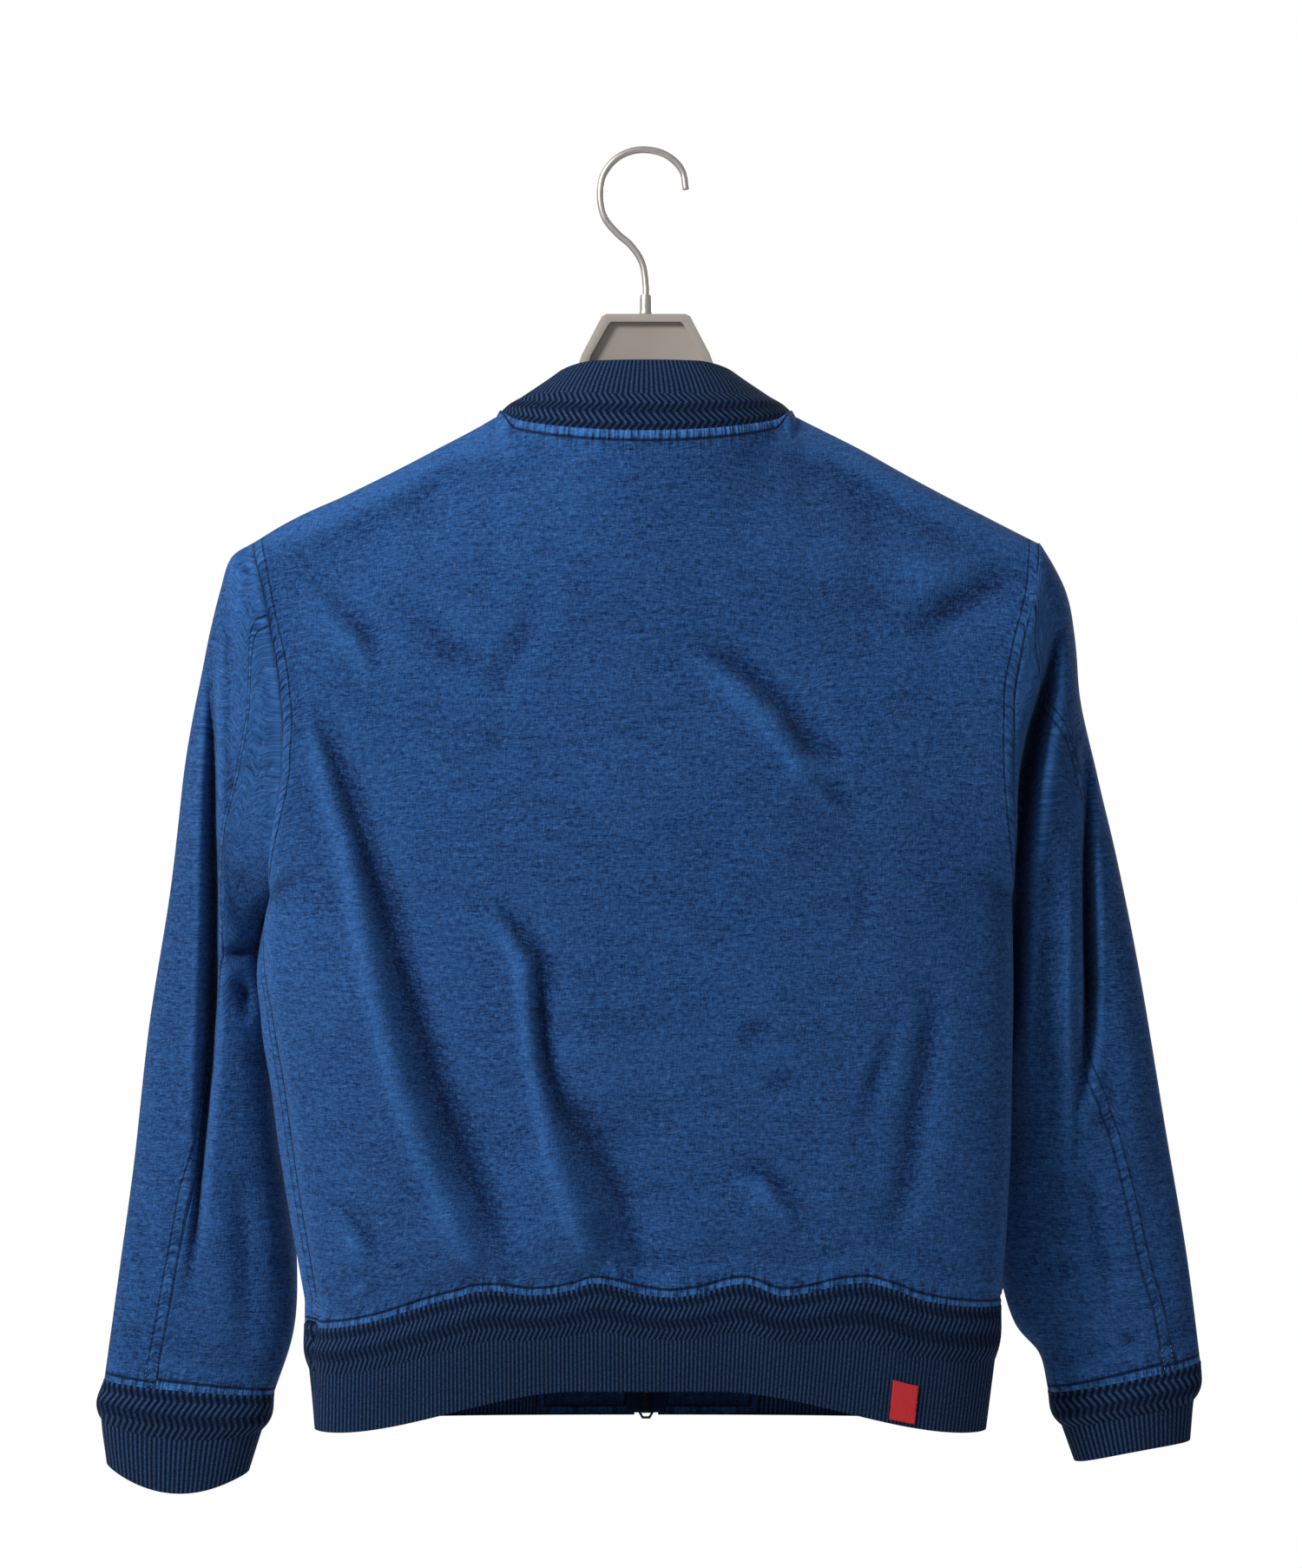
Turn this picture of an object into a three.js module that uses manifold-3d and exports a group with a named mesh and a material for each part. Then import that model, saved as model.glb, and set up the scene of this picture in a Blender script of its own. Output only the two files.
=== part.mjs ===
// A blouson jacket of indigo canvas with knitted collar, cuffs and hem, zipped up and hung on a
// moulded hanger. Millimetres, +Z up. The garment's front faces -Y and its left sleeve lies at +X.
// The origin is where the hook rests on a peg, at the inner top of its bend.
import * as THREE from "three";
import { mergeVertices } from "three/addons/utils/BufferGeometryUtils.js";
import Module from "manifold-3d";

// Driving dimensions
const MID = -4.5; // x of the garment's centre line
const CANVAS = 1.7; // wall of the woven panels
const KNIT = 2.2; // wall of the collar, cuffs and hem
const SEAM_GAP = 0.4; // between two pieces that are sewn together
const RIB = 0.9; // height of the knitted ribs
const NECK = { x: 92, y: 58, middle: -8, side: -166, back: -182, front: -246 };
const COLLAR_TOP = { x: 62, y: 52, middle: -30, back: -131 };
const SHOULDER_TIP = -248.5;
const UNDERARM = -469;
const ARMHOLE_DEPTH = 42; // half of the armhole's width from front to back
const SHOULDER_ROUND = 20; // radius that the cloth bends over the shoulder with
const SHOULDER_SEAM = 8; // the seam lies this far in front of the ridge
const HEM_BOTTOM = -806.5;
const HEM_LIFT = 30; // the hem's back hangs this much higher than its sides
const ZIP_EDGE = 8; // from the centre line to a front's edge
const BLOCK = 76; // from the centre line to the end of the hem's woven block
const PANEL_HALF = 248; // half of the trunk's width, which a panel's shares are counted in
const HEM_HALF = 222;
const TWILL = 0.9; // wall of the hem tab

const radians = Math.PI / 180;
const clamp = (v) => Math.min(1, Math.max(0, v));
const lerp = (a, b, t) => a + (b - a) * t;
const step = (a, b, v) => {
  const t = clamp((v - a) / (b - a));
  return t * t * (3 - 2 * t);
};

// A smooth line through [place, value] points, each point's slope taken from its neighbours
function smooth(points) {
  const last = points.length - 1;
  const slope = (i) => {
    const a = points[Math.max(i - 1, 0)];
    const b = points[Math.min(i + 1, last)];
    return (b[1] - a[1]) / (b[0] - a[0]);
  };
  return (t) => {
    if (t <= points[0][0]) return points[0][1];
    if (t >= points[last][0]) return points[last][1];
    let i = 0;
    while (t > points[i + 1][0]) i++;
    const width = points[i + 1][0] - points[i][0];
    const s = (t - points[i][0]) / width;
    const near = points[i][1] + s * width * slope(i);
    const far = points[i + 1][1] - (1 - s) * width * slope(i + 1);
    return lerp(near, far, step(0, 1, s));
  };
}

// Outline of the hung jacket, seen from behind. The shoulder line is carried on over the neck hole.
const shoulderLine = smooth([
  [-252.5, -249], [-223, -234], [-174, -208.5], [-139, -189], [-96.5, -167], [-60, -147],
  [50, -147], [87.5, -167], [112, -181], [183, -217.5], [215, -232], [243.5, -248.5],
]);
const leftEdge = smooth([
  [-726, 200.5], [-693, 206], [-644, 214], [-590, 221.5], [-545, 229], [-496, 235.5],
  [-469, 232], [-440, 229.5], [-403, 222.5], [-382, 221], [-349, 222], [-302, 231], [-248.5, 243.5],
]);
const rightEdge = smooth([
  [-724, -227], [-672, -231.5], [-580, -234.5], [-484, -235], [-440, -234],
  [-361, -233], [-318, -239], [-285, -247.5], [-248.5, -252.5],
]);
const hemSeam = smooth([
  [-227, -729], [-179, -722], [-154, -713], [-129, -710], [-89, -717], [-65, -709.5], [-34, -716],
  [-4, -716], [27, -709], [45, -713], [74, -716.5], [98, -714], [124, -718.5], [158, -728],
  [185, -736], [217, -742],
]);
const backDepth = smooth([[-740, 47], [-700, 53], [-600, 56], [-450, 58], [-300, 55], [-180, 50]]);
const frontDepth = smooth([[-745, 46], [-705, 52], [-600, 55], [-450, 59], [-300, 62], [-240, 64]]);
// How far the left front swells past the side seam, which hangs a little to the back there
const leftSwell = smooth([[-726, 12], [-645, 13], [-590, 13], [-545, 12], [-500, 6], [-469, 0]]);
const sideSeamDepth = (x, z) => (x > 0 ? 12 : 4) * step(UNDERARM, UNDERARM - 60, z);

// A point of the neck seam, the angle counted from the back's centre towards the left shoulder
function neckSeam(angle) {
  const c = Math.cos(angle);
  const drop = c > 0 ? (NECK.back - NECK.side) * c ** 1.3 : (NECK.front - NECK.side) * (-c) ** 1.2;
  return new THREE.Vector3(MID + NECK.x * Math.sin(angle), NECK.middle + NECK.y * c, NECK.side + drop);
}

// Creases: a line of [x, z] points, a width and a height. A roll has its crest on its +X side and
// its trough on its -X side, a trough is a plain groove.
const backCreases = [
  { roll: 7, width: 13, line: [[205, -355], [185, -420], [170, -500], [148, -580], [122, -655], [92, -705]] },
  { roll: 8, width: 15, line: [[82, -505], [70, -560], [62, -620], [38, -665], [12, -705]] },
  { roll: 7, width: 15, line: [[-30, -310], [-75, -345], [-105, -378], [-125, -395]] },
  { trough: 5, width: 14, line: [[-236, -262], [-198, -282], [-165, -305]] },
  { trough: 5, width: 14, line: [[-180, -510], [-178, -560], [-170, -610], [-145, -690]] },
  { trough: 5, width: 12, line: [[140, -305], [110, -322], [85, -335]] },
];
const frontCreases = [
  { roll: 7, width: 14, line: [[-205, -360], [-180, -440], [-158, -540], [-120, -650], [-95, -715]] },
  { trough: 6, width: 14, line: [[200, -350], [176, -430], [160, -540], [128, -650], [105, -710]] },
  { trough: 5, width: 13, line: [[-70, -530], [-60, -610], [-45, -700]] },
];

function crease({ roll = 0, trough = 0, width, line }, x, z) {
  let best = Infinity;
  let side = 1;
  let along = 0;
  const pieces = line.length - 1;
  for (let i = 0; i < pieces; i++) {
    const [ax, az] = line[i];
    const [bx, bz] = line[i + 1];
    const dx = bx - ax;
    const dz = bz - az;
    const t = clamp(((x - ax) * dx + (z - az) * dz) / (dx * dx + dz * dz));
    const far = Math.hypot(x - ax - dx * t, z - az - dz * t);
    if (far >= best) continue;
    best = far;
    side = Math.sign((x - ax) * dz - (z - az) * dx) || 1;
    along = (i + t) / pieces;
  }
  const d = best / width;
  const fade = step(0, 0.25, along) * (1 - step(0.9, 1.05, along));
  return fade * (roll * -side * d * Math.exp(0.5 - 0.5 * d * d) - trough * Math.exp(-d * d));
}

// The trunk: face is 1 for the back and -1 for the front, across runs from -1 at the right side to
// 1 at the left side, and down runs from 0 at the shoulder or neck seam to 1 at the hem seam.
const NECK_SHARE = NECK.x / PANEL_HALF;
function trunk(face, across, down) {
  const share = Math.abs(across);
  const left = across > 0;
  const topEdge = left ? leftEdge(SHOULDER_TIP) : rightEdge(SHOULDER_TIP);
  const inNeck = share < NECK_SHARE;
  const lean = inNeck ? Math.asin(share / NECK_SHARE) : Math.PI / 2;
  const seam = neckSeam((face > 0 ? lean : Math.PI - lean) * (left ? 1 : -1));
  const open = inNeck ? step(60, 90, lean / radians) : 1;
  const curl = lerp(2.5, SHOULDER_ROUND, open * lerp(0.7, 1, clamp((share - NECK_SHARE) / 0.3)));
  const start = -face * SHOULDER_SEAM * open;
  const xTop = MID + share * (topEdge - MID);
  const ridgeY = inNeck ? seam.y - face * curl * Math.sin(start / curl) : 0;
  const ridgeZ = inNeck ? seam.z + curl * (1 - Math.cos(start / curl)) : shoulderLine(xTop);
  const bottom = face > 0 ? hemSeam(xTop * 0.9) : lerp(-747, hemSeam(xTop * 0.9), share ** 6);
  const run = ridgeZ - bottom - curl + (curl * Math.PI) / 2;
  const arc = run * down + start * Math.max(0, 1 - down / 0.3);
  const quarter = (curl * Math.PI) / 2;
  const drop = arc < quarter ? curl * (1 - Math.cos(arc / curl)) : curl + arc - quarter;
  const out = arc < quarter ? curl * Math.sin(arc / curl) : curl;
  const z = ridgeZ - drop;
  const depth = face > 0 ? backDepth(z) : frontDepth(z);
  // Below the curl over the shoulder the cloth hangs to its full depth, and the neck's round fades
  const reach = face * ridgeY + curl;
  const plain = lerp(face > 0 ? 52 : 64, 20, step(0, 0.6, share));
  const below = Math.max(0, shoulderLine(xTop) - SHOULDER_ROUND - z);
  const settled = plain + (depth - plain) * (1 - Math.exp(-below / 70));
  const hung = lerp(settled, reach, Math.exp(-Math.max(0, drop - curl) / 20));
  const middle = arc < quarter ? face * ridgeY + out : hung;
  const edgeX = left ? leftEdge(z) : rightEdge(z);
  const lobe = Math.sqrt(Math.max(0, 1 - (1 - (2 * drop) / (SHOULDER_TIP - UNDERARM)) ** 2));
  const above = drop < SHOULDER_TIP - UNDERARM;
  const edgeY = above ? Math.sign(arc) * ARMHOLE_DEPTH * lobe : face * sideSeamDepth(across, z);
  const crown = (1 - share ** 2.6) ** (1 / 2.6);
  const y = edgeY + (middle - edgeY) * crown;
  const swollen = face < 0 && left ? leftSwell(z) * step(0.4, 0.97, share) * Math.sqrt(crown) * 2 : 0;
  const x = MID + share * (edgeX - MID) + swollen;
  const folds = face > 0 ? backCreases : frontCreases;
  const calm = step(0, 0.12, down) * (1 - step(0.93, 1, down)) * crown;
  const fold = calm * folds.reduce((sum, one) => sum + crease(one, x, z), 0);
  return new THREE.Vector3(x, face * (y + fold), z);
}

// Sleeves: the outer and inner edges run from the armhole to the cuff, as [x, y, z]
const sleeves = {
  left: {
    side: 1,
    outer: [[243.5, 0, -248.5], [258, -1, -257], [267, -3, -276], [275, -6, -304], [281, -11, -340],
      [287, -18, -382], [298, -30, -464], [314, -42, -555], [325, -48, -645], [334, -48, -710], [344.5, -48, -785.5]],
    inner: [[232, 0, -469], [246, -16, -489], [252, -32, -514], [248, -43, -548], [240, -49, -590],
      [230, -53, -650], [224, -53, -715], [226, -50, -755], [238.5, -48, -794.5]],
    valleys: [{ width: 8, line: [[-288, 265, 0], [-330, 268, 8], [-400, 269, 20], [-500, 271, 25],
      [-600, 276, 22], [-675, 283, 10], [-731, 290, 0]] }],
    seam: smooth([[0, 0.33], [0.022, 0.347], [0.057, 0.47], [0.138, 0.565], [0.227, 0.58], [0.4, 0.52],
      [0.572, 0.45], [0.7, 0.427], [0.82, 0.4], [0.9, 0.39], [1, 0.386]]),
    cuff: { outer: [[344.5, -48, -785.5], [346, -48, -807], [342.5, -48, -838]],
      inner: [[238.5, -48, -794.5], [245, -47, -813], [254.5, -46, -843]], sag: 14 },
  },
  right: {
    side: -1,
    outer: [[-252.5, 0, -248.5], [-262, -1, -262], [-272, -4, -280], [-279, -9, -307], [-282, -15, -350],
      [-291, -22, -394], [-304, -30, -445], [-320, -42, -516], [-339, -48, -624], [-353, -48, -707],
      [-361.5, -48, -773.5]],
    inner: [[-235, 0, -469], [-243, -16, -492], [-246, -32, -520], [-242, -44, -560], [-236, -50, -620],
      [-234, -53, -700], [-245, -51, -748], [-261, -49, -768], [-267, -48, -793]],
    valleys: [
      { width: 8, line: [[-275, -261, 0], [-321, -258, 14], [-350, -254, 24], [-398, -243, 26], [-470, -241, 0]] },
      { width: 8, line: [[-370, -280, 0], [-430, -284, 7], [-500, -287, 15], [-560, -284, 6], [-600, -282, 0]] },
    ],
    seam: smooth([[0, 0.28], [0.03, 0.36], [0.09, 0.385], [0.16, 0.345], [0.236, 0.3], [0.33, 0.32],
      [0.42, 0.385], [0.48, 0.44], [0.554, 0.449], [0.62, 0.42], [0.7, 0.383], [0.84, 0.361], [1, 0.347]]),
    cuff: { outer: [[-361.5, -48, -773.5], [-357, -48, -795], [-354.5, -48, -823]],
      inner: [[-267, -48, -793], [-273, -47, -807], [-283.5, -46, -836]], sag: -2 },
  },
};
const sleeveBackDepth = smooth([[0, ARMHOLE_DEPTH], [0.15, 42], [0.4, 40], [0.7, 34], [0.9, 26], [1, 22]]);
const sleeveFrontDepth = smooth([[0, ARMHOLE_DEPTH], [0.2, 40], [0.5, 36], [0.8, 28], [1, 20]]);

// A point of a path given as [x, y, z] points, t running from 0 to 1 along its length
function onPath(points) {
  const curve = new THREE.CatmullRomCurve3(points.map((p) => new THREE.Vector3(...p)), false, "centripetal");
  curve.arcLengthDivisions = 400;
  return (t) => curve.getPointAt(clamp(t));
}

// A ring of the sleeve lies across it: turn runs from 0 at the outer edge over the back to 1 at
// the inner edge, and from 0 to -1 over the front.
function sleevePoint(sleeve) {
  const outer = onPath(sleeve.outer);
  const inner = onPath(sleeve.inner);
  const armhole = sleeve.side > 0 ? leftEdge : rightEdge;
  return (turn, down) => {
    const angle = Math.abs(turn) * Math.PI;
    const share = (1 - Math.cos(angle)) / 2;
    const p = outer(down).lerp(inner(down), share);
    const toArmhole = Math.max(0, 1 - down / 0.3) ** 2;
    const bow = armhole(p.z) - lerp(armhole(SHOULDER_TIP), armhole(UNDERARM), share);
    p.x += (bow + sleeve.side * SEAM_GAP * 1.8) * toArmhole;
    const depth = turn > 0 ? sleeveBackDepth(down) : -sleeveFrontDepth(down);
    p.y += depth * Math.sin(angle) ** lerp(1, 0.75, step(0, 0.4, down));
    if (turn > 0) p.y -= valleyDepth(sleeve, p) * step(0, 0.06, down) * Math.sin(angle);
    return p;
  };
}
function valleyDepth(sleeve, p) {
  return sleeve.valleys.reduce((sum, { width, line }) => {
    const ordered = [...line].reverse();
    const x = smooth(ordered.map(([z, place]) => [z, place]))(p.z);
    const deep = smooth(ordered.map(([z, , depth]) => [z, depth]))(p.z);
    return sum + deep * Math.exp(-(((p.x - x) / width) ** 2));
  }, 0);
}

// The cuff: turn runs round it from -1 to 1, down from 0 at its seam to 1 at its edge
function cuffPoint({ cuff }) {
  const outer = onPath(cuff.outer);
  const inner = onPath(cuff.inner);
  return (turn, down) => {
    const angle = turn * Math.PI;
    const share = (1 - Math.cos(angle)) / 2;
    const p = outer(down).lerp(inner(down), share);
    const depth = turn > 0 ? lerp(sleeveBackDepth(1), 18, down) : lerp(sleeveFrontDepth(1), 18, down);
    const round = Math.abs(Math.sin(angle)) ** 0.75 * Math.sign(angle);
    p.y += depth * round + 2 * Math.sin(Math.PI * down) * round;
    p.z -= cuff.sag * down * Math.sin(angle) ** 2 * (turn > 0 ? 1 : 0.4);
    return p;
  };
}

// The collar stands on the neck seam and leans in and forward
function collarPoint(angle, up) {
  const c = Math.cos(angle);
  const top = new THREE.Vector3(
    MID + COLLAR_TOP.x * Math.sin(angle),
    COLLAR_TOP.middle + COLLAR_TOP.y * Math.sign(c) * Math.abs(c) ** 0.75,
    COLLAR_TOP.back - 17 * (1 - c) ** 1.3 - 22 * Math.max(0, -c) ** 1.5,
  );
  const share = Math.abs(Math.sin(angle)) * NECK_SHARE;
  const seam = alongPanel(c > 0 ? 1 : -1, share * Math.sign(Math.sin(angle)), 0);
  const p = seam.lerp(top, up);
  const swell = 4 * Math.sin(Math.PI * up);
  p.x += swell * Math.sin(angle);
  p.y += swell * c;
  return p;
}

// Shares of a panel's width at its columns, which crowd together at the neck point and the side
const panelStations = [
  ...[0, 20, 38, 54, 68, 80, 90].map((degrees) => NECK_SHARE * Math.sin(degrees * radians)),
  0.46, 0.56, 0.66, 0.76, 0.86, 0.94, 0.985, 1,
];

// The seam line of a panel between two of its columns is straight, and what is sewn on follows it
function alongPanel(face, across, down) {
  const share = Math.abs(across);
  const side = Math.sign(across) || 1;
  const stations = panelStations;
  let i = 0;
  while (i < stations.length - 2 && share > stations[i + 1]) i++;
  const part = (share - stations[i]) / (stations[i + 1] - stations[i]);
  return trunk(face, side * stations[i], down).lerp(trunk(face, side * stations[i + 1], down), part);
}

// The hem: lap runs round it from 0 at the left front edge of the zip, over the left side, the
// back and the right side, to 4 at the right front edge
function lapPlace(lap) {
  if (lap <= 1) return [-1, lap];
  if (lap <= 3) return [1, 2 - lap];
  return [-1, lap - 4];
}
function hemPoint(lap, down) {
  const [face, across] = lapPlace(lap);
  const share = Math.abs(across);
  const p = alongPanel(face, across, 1);
  p.z -= SEAM_GAP * 0.75;
  const crown = (1 - share ** 2.6) ** (1 / 2.6);
  const half = across > 0 ? 207.5 : -213;
  const lift = face > 0 ? HEM_LIFT * (1 - step(0.2, 1, share)) : 0;
  const edge = new THREE.Vector3(MID + share * half, face * (crown * 40 + 2 * (1 - crown)), HEM_BOTTOM + lift);
  if (face < 0) edge.x += (across > 0 ? 4 : 0) * Math.sqrt(crown) * step(0.4, 0.97, share);
  p.lerp(edge, down);
  p.y += face * 2.5 * Math.sin(Math.PI * down) * crown;
  return p;
}

// Even stations along a line on a surface: returns n + 1 parameter values between two ends
function evenly(at, from, to, n) {
  const samples = 600;
  const lengths = [0];
  let before = at(from);
  for (let i = 1; i <= samples; i++) {
    const here = at(lerp(from, to, i / samples));
    lengths.push(lengths[i - 1] + here.distanceTo(before));
    before = here;
  }
  const whole = lengths[samples];
  const stations = [];
  let i = 0;
  for (let k = 0; k <= n; k++) {
    const goal = (whole * k) / n;
    while (i < samples - 1 && lengths[i + 1] < goal) i++;
    const part = (goal - lengths[i]) / (lengths[i + 1] - lengths[i]);
    stations.push(lerp(from, to, (i + clamp(part)) / samples));
  }
  stations.whole = whole;
  return stations;
}

// Turns a grid of outer points into a closed wall. The outer points may be raised, and the inner
// side is plain, with a column for every few of the outer ones. Each free edge is drawn back by
// half a seam gap, unless loop says that the columns close on themselves. Where level gives a
// direction, the wall's thickness is measured square to it, so that pieces meet flush at a seam.
function wall(grid, options) {
  const { thick, raise = () => 0, every = 1, loop = false, level = () => null } = options;
  const { trim = SEAM_GAP / 2, facing = 1, tangent = null } = options;
  const rows = grid.length;
  const columns = grid[0].length;
  const column = (j) => (loop ? (j + columns) % columns : Math.min(columns - 1, Math.max(0, j)));
  const row = (i) => Math.min(rows - 1, Math.max(0, i));
  const plain = grid.map((line) => line.map((p) => p.clone()));
  const draw = (p, from, to) => p.add(to.clone().sub(from).normalize().multiplyScalar(trim));
  for (let j = 0; j < columns; j++) {
    draw(plain[0][j], grid[0][j], grid[1][j]);
    draw(plain[rows - 1][j], grid[rows - 1][j], grid[rows - 2][j]);
  }
  for (let i = 0; !loop && i < rows; i++) {
    draw(plain[i][0], grid[i][0], grid[i][1]);
    draw(plain[i][columns - 1], grid[i][columns - 1], grid[i][columns - 2]);
  }
  const normal = (i, j) => {
    const du = tangent ? tangent(i, j) : plain[i][column(j + 1)].clone().sub(plain[i][column(j - 1)]);
    const dv = plain[row(i + 1)][j].clone().sub(plain[row(i - 1)][j]);
    const n = du.cross(dv);
    const flat = level(i, j);
    if (flat) n.addScaledVector(flat, -n.dot(flat) / flat.lengthSq());
    return n.normalize().multiplyScalar(facing);
  };
  const points = [];
  const outside = plain.map((line, i) =>
    line.map((p, j) => points.push(p.clone().addScaledVector(normal(i, j), raise(i, j))) - 1),
  );
  const kept = plain[0].map((_, j) => j).filter((j) => j % every === 0 || (!loop && j === columns - 1));
  const inside = plain.map((line, i) =>
    kept.map((j) => points.push(line[j].clone().addScaledVector(normal(i, j), -thick)) - 1),
  );
  const faces = [];
  const quad = (a, b, c, d) => {
    const split = points[a].distanceTo(points[c]) <= points[b].distanceTo(points[d]);
    faces.push(...(split ? [a, b, c, a, c, d] : [a, b, d, b, c, d]));
  };
  const outerSpan = loop ? columns : columns - 1;
  const innerSpan = loop ? kept.length : kept.length - 1;
  for (let i = 0; i < rows - 1; i++) {
    for (let j = 0; j < outerSpan; j++) {
      const next = column(j + 1);
      quad(outside[i][j], outside[i][next], outside[i + 1][next], outside[i + 1][j]);
    }
    for (let k = 0; k < innerSpan; k++) {
      const next = (k + 1) % kept.length;
      quad(inside[i][k], inside[i + 1][k], inside[i + 1][next], inside[i][next]);
    }
    if (!loop) {
      const last = kept.length - 1;
      quad(outside[i][0], outside[i + 1][0], inside[i + 1][0], inside[i][0]);
      quad(outside[i][columns - 1], inside[i][last], inside[i + 1][last], outside[i + 1][columns - 1]);
    }
  }
  for (const [i, ahead] of [[0, true], [rows - 1, false]]) {
    const tri = (a, b, c) => faces.push(...(ahead ? [a, b, c] : [a, c, b]));
    for (let k = 0; k < innerSpan; k++) {
      const from = kept[k];
      const to = k + 1 < kept.length ? kept[k + 1] : columns;
      const half = Math.ceil((from + to) / 2);
      const here = inside[i][k];
      const there = inside[i][(k + 1) % kept.length];
      for (let j = from; j < half; j++) tri(here, outside[i][column(j + 1)], outside[i][j]);
      tri(here, there, outside[i][column(half)]);
      for (let j = half; j < to; j++) tri(there, outside[i][column(j + 1)], outside[i][column(j)]);
    }
  }
  return solid(points, faces);
}

// A buffer geometry from points and faces, turned so that its faces point outwards
function solid(points, faces) {
  let volume = 0;
  const part = new THREE.Vector3();
  for (let i = 0; i < faces.length; i += 3) {
    const [a, b, c] = [points[faces[i]], points[faces[i + 1]], points[faces[i + 2]]];
    volume += a.dot(part.crossVectors(b, c));
  }
  const index = [...faces];
  if (volume < 0) index.reverse();
  const geometry = new THREE.BufferGeometry();
  geometry.setAttribute("position", new THREE.Float32BufferAttribute(points.flatMap((p) => p.toArray()), 3));
  geometry.setIndex(index);
  return geometry;
}

// Materials
const finish = (color, roughness, metalness = 0) => new THREE.MeshStandardMaterial({ color, roughness, metalness });
const canvas = finish(0x27507f, 0.92);
const knit = finish(0x1d3355, 0.95);
const redTwill = finish(0xd8222e, 0.85);
const tape = finish(0x1b2b48, 0.9);
const darkMetal = finish(0x2a2a2c, 0.35, 1);
const pearl = finish(0xb9b3a6, 0.38);
const nickel = finish(0xa9a29a, 0.3, 1);

const jacket = new THREE.Group();
function add(name, geometry, material) {
  const mesh = new THREE.Mesh(geometry, material);
  mesh.name = name;
  jacket.add(mesh);
  return mesh;
}

const UP = new THREE.Vector3(0, 0, 1);
const ACROSS = new THREE.Vector3(1, 0, 0);
const THROUGH = new THREE.Vector3(0, 1, 0);

// Back and fronts
const UNDERARM_ROW = (SHOULDER_TIP - UNDERARM) / (SHOULDER_TIP + 742);
const downStations = [0, 0.02, 0.045, 0.08, 0.13, 0.19, 0.26, 0.33, 0.4, UNDERARM_ROW,
  0.51, 0.57, 0.64, 0.71, 0.78, 0.85, 0.92, 0.97, 1];
const lastRow = downStations.length - 1;
const trunkLevel = (i, share) => {
  if (i === lastRow) return share === 1 ? THROUGH : UP;
  if (i === 0) return share < NECK_SHARE ? UP : THROUGH;
  return share === 1 && downStations[i] > UNDERARM_ROW ? THROUGH : null;
};

const backStations = [...panelStations.slice(1).map((s) => -s).reverse(), ...panelStations];
add(
  "back_panel",
  wall(downStations.map((down) => backStations.map((across) => trunk(1, across, down))), {
    thick: CANVAS,
    level: (i, j) => trunkLevel(i, Math.abs(backStations[j])),
  }),
  canvas,
);
for (const [name, side] of [["front_left", 1], ["front_right", -1]]) {
  const stations = [ZIP_EDGE / PANEL_HALF, ...panelStations.slice(1)];
  add(
    name,
    wall(downStations.map((down) => stations.map((share) => trunk(-1, side * share, down))), {
      thick: CANVAS,
      level: (i, j) => trunkLevel(i, stations[j]),
      facing: -side,
    }),
    canvas,
  );
}

// Sleeves and cuffs
const sleeveRows = [0, 0.02, 0.05, 0.09, 0.14, 0.2, 0.27, 0.34, 0.42, 0.5, 0.58, 0.66, 0.74, 0.82, 0.9, 0.96, 1];
for (const [name, sleeve] of Object.entries(sleeves)) {
  const at = sleevePoint(sleeve);
  const lengthwise = new THREE.Vector3(...sleeve.cuff.outer[2]).sub(new THREE.Vector3(...sleeve.cuff.outer[0]));
  const lastSleeveRow = sleeveRows.length - 1;
  const level = (i) => {
    if (i === 0) return ACROSS;
    return i === lastSleeveRow ? lengthwise : null;
  };
  const spread = (from, to, n) => Array.from({ length: n + 1 }, (_, k) => lerp(from, to, k / n));
  const topTurns = (down) => [...spread(-1, 0, 9).slice(0, -1), ...spread(0, sleeve.seam(down), 5)];
  const underTurns = (down) => spread(sleeve.seam(down), 1, 7);
  for (const [part, turns] of [["top", topTurns], ["under", underTurns]]) {
    const tangent = (i, j) => {
      const turn = turns(sleeveRows[i])[j];
      const after = turn > 0.97 ? turn - 1.97 : turn + 0.03;
      const before = turn < -0.97 ? turn + 1.97 : turn - 0.03;
      return at(after, sleeveRows[i]).sub(at(before, sleeveRows[i]));
    };
    add(
      `sleeve_${part}_${name}`,
      wall(sleeveRows.map((down) => turns(down).map((turn) => at(turn, down))), {
        thick: CANVAS,
        level,
        tangent,
        facing: -sleeve.side,
      }),
      canvas,
    );
  }

  const onCuff = cuffPoint(sleeve);
  const cuffRound = evenly((turn) => onCuff(turn, 0.5), -1, 1, 36 * 2).slice(0, -1);
  const cuffRows = [0, 0.1, 0.41, 0.47, 1];
  const ribbed = (i, j) => (i >= 3 && j % 2 === 1 ? RIB : 0) + (i === 1 || i === 2 ? RIB : 0);
  add(
    `cuff_${name}`,
    wall(cuffRows.map((down) => cuffRound.map((turn) => onCuff(turn, down))), {
      thick: KNIT,
      raise: ribbed,
      every: 4,
      loop: true,
      level: (i) => (i === 0 ? lengthwise : null),
      facing: -sleeve.side,
    }),
    knit,
  );
}

// Collar
const collarEnd = Math.PI - Math.asin(ZIP_EDGE / NECK.x);
const collarRows = [0, 0.08, 0.5, 0.56, 1];
const collarMid = evenly((angle) => collarPoint(angle, 0.5), -collarEnd, collarEnd, 100);
add(
  "collar_rib",
  wall(collarRows.map((up) => {
    const narrow = Math.PI - Math.asin(ZIP_EDGE / lerp(NECK.x, COLLAR_TOP.x, up));
    return collarMid.map((angle) => collarPoint((angle * narrow) / collarEnd, up));
  }), {
    thick: KNIT,
    raise: (i, j) => (i >= 3 && j % 2 === 1 ? RIB : 0) + (i === 1 || i === 2 ? RIB : 0),
    every: 4,
    level: (i) => (i === 0 ? UP : null),
    facing: -1,
  }),
  knit,
);

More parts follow.
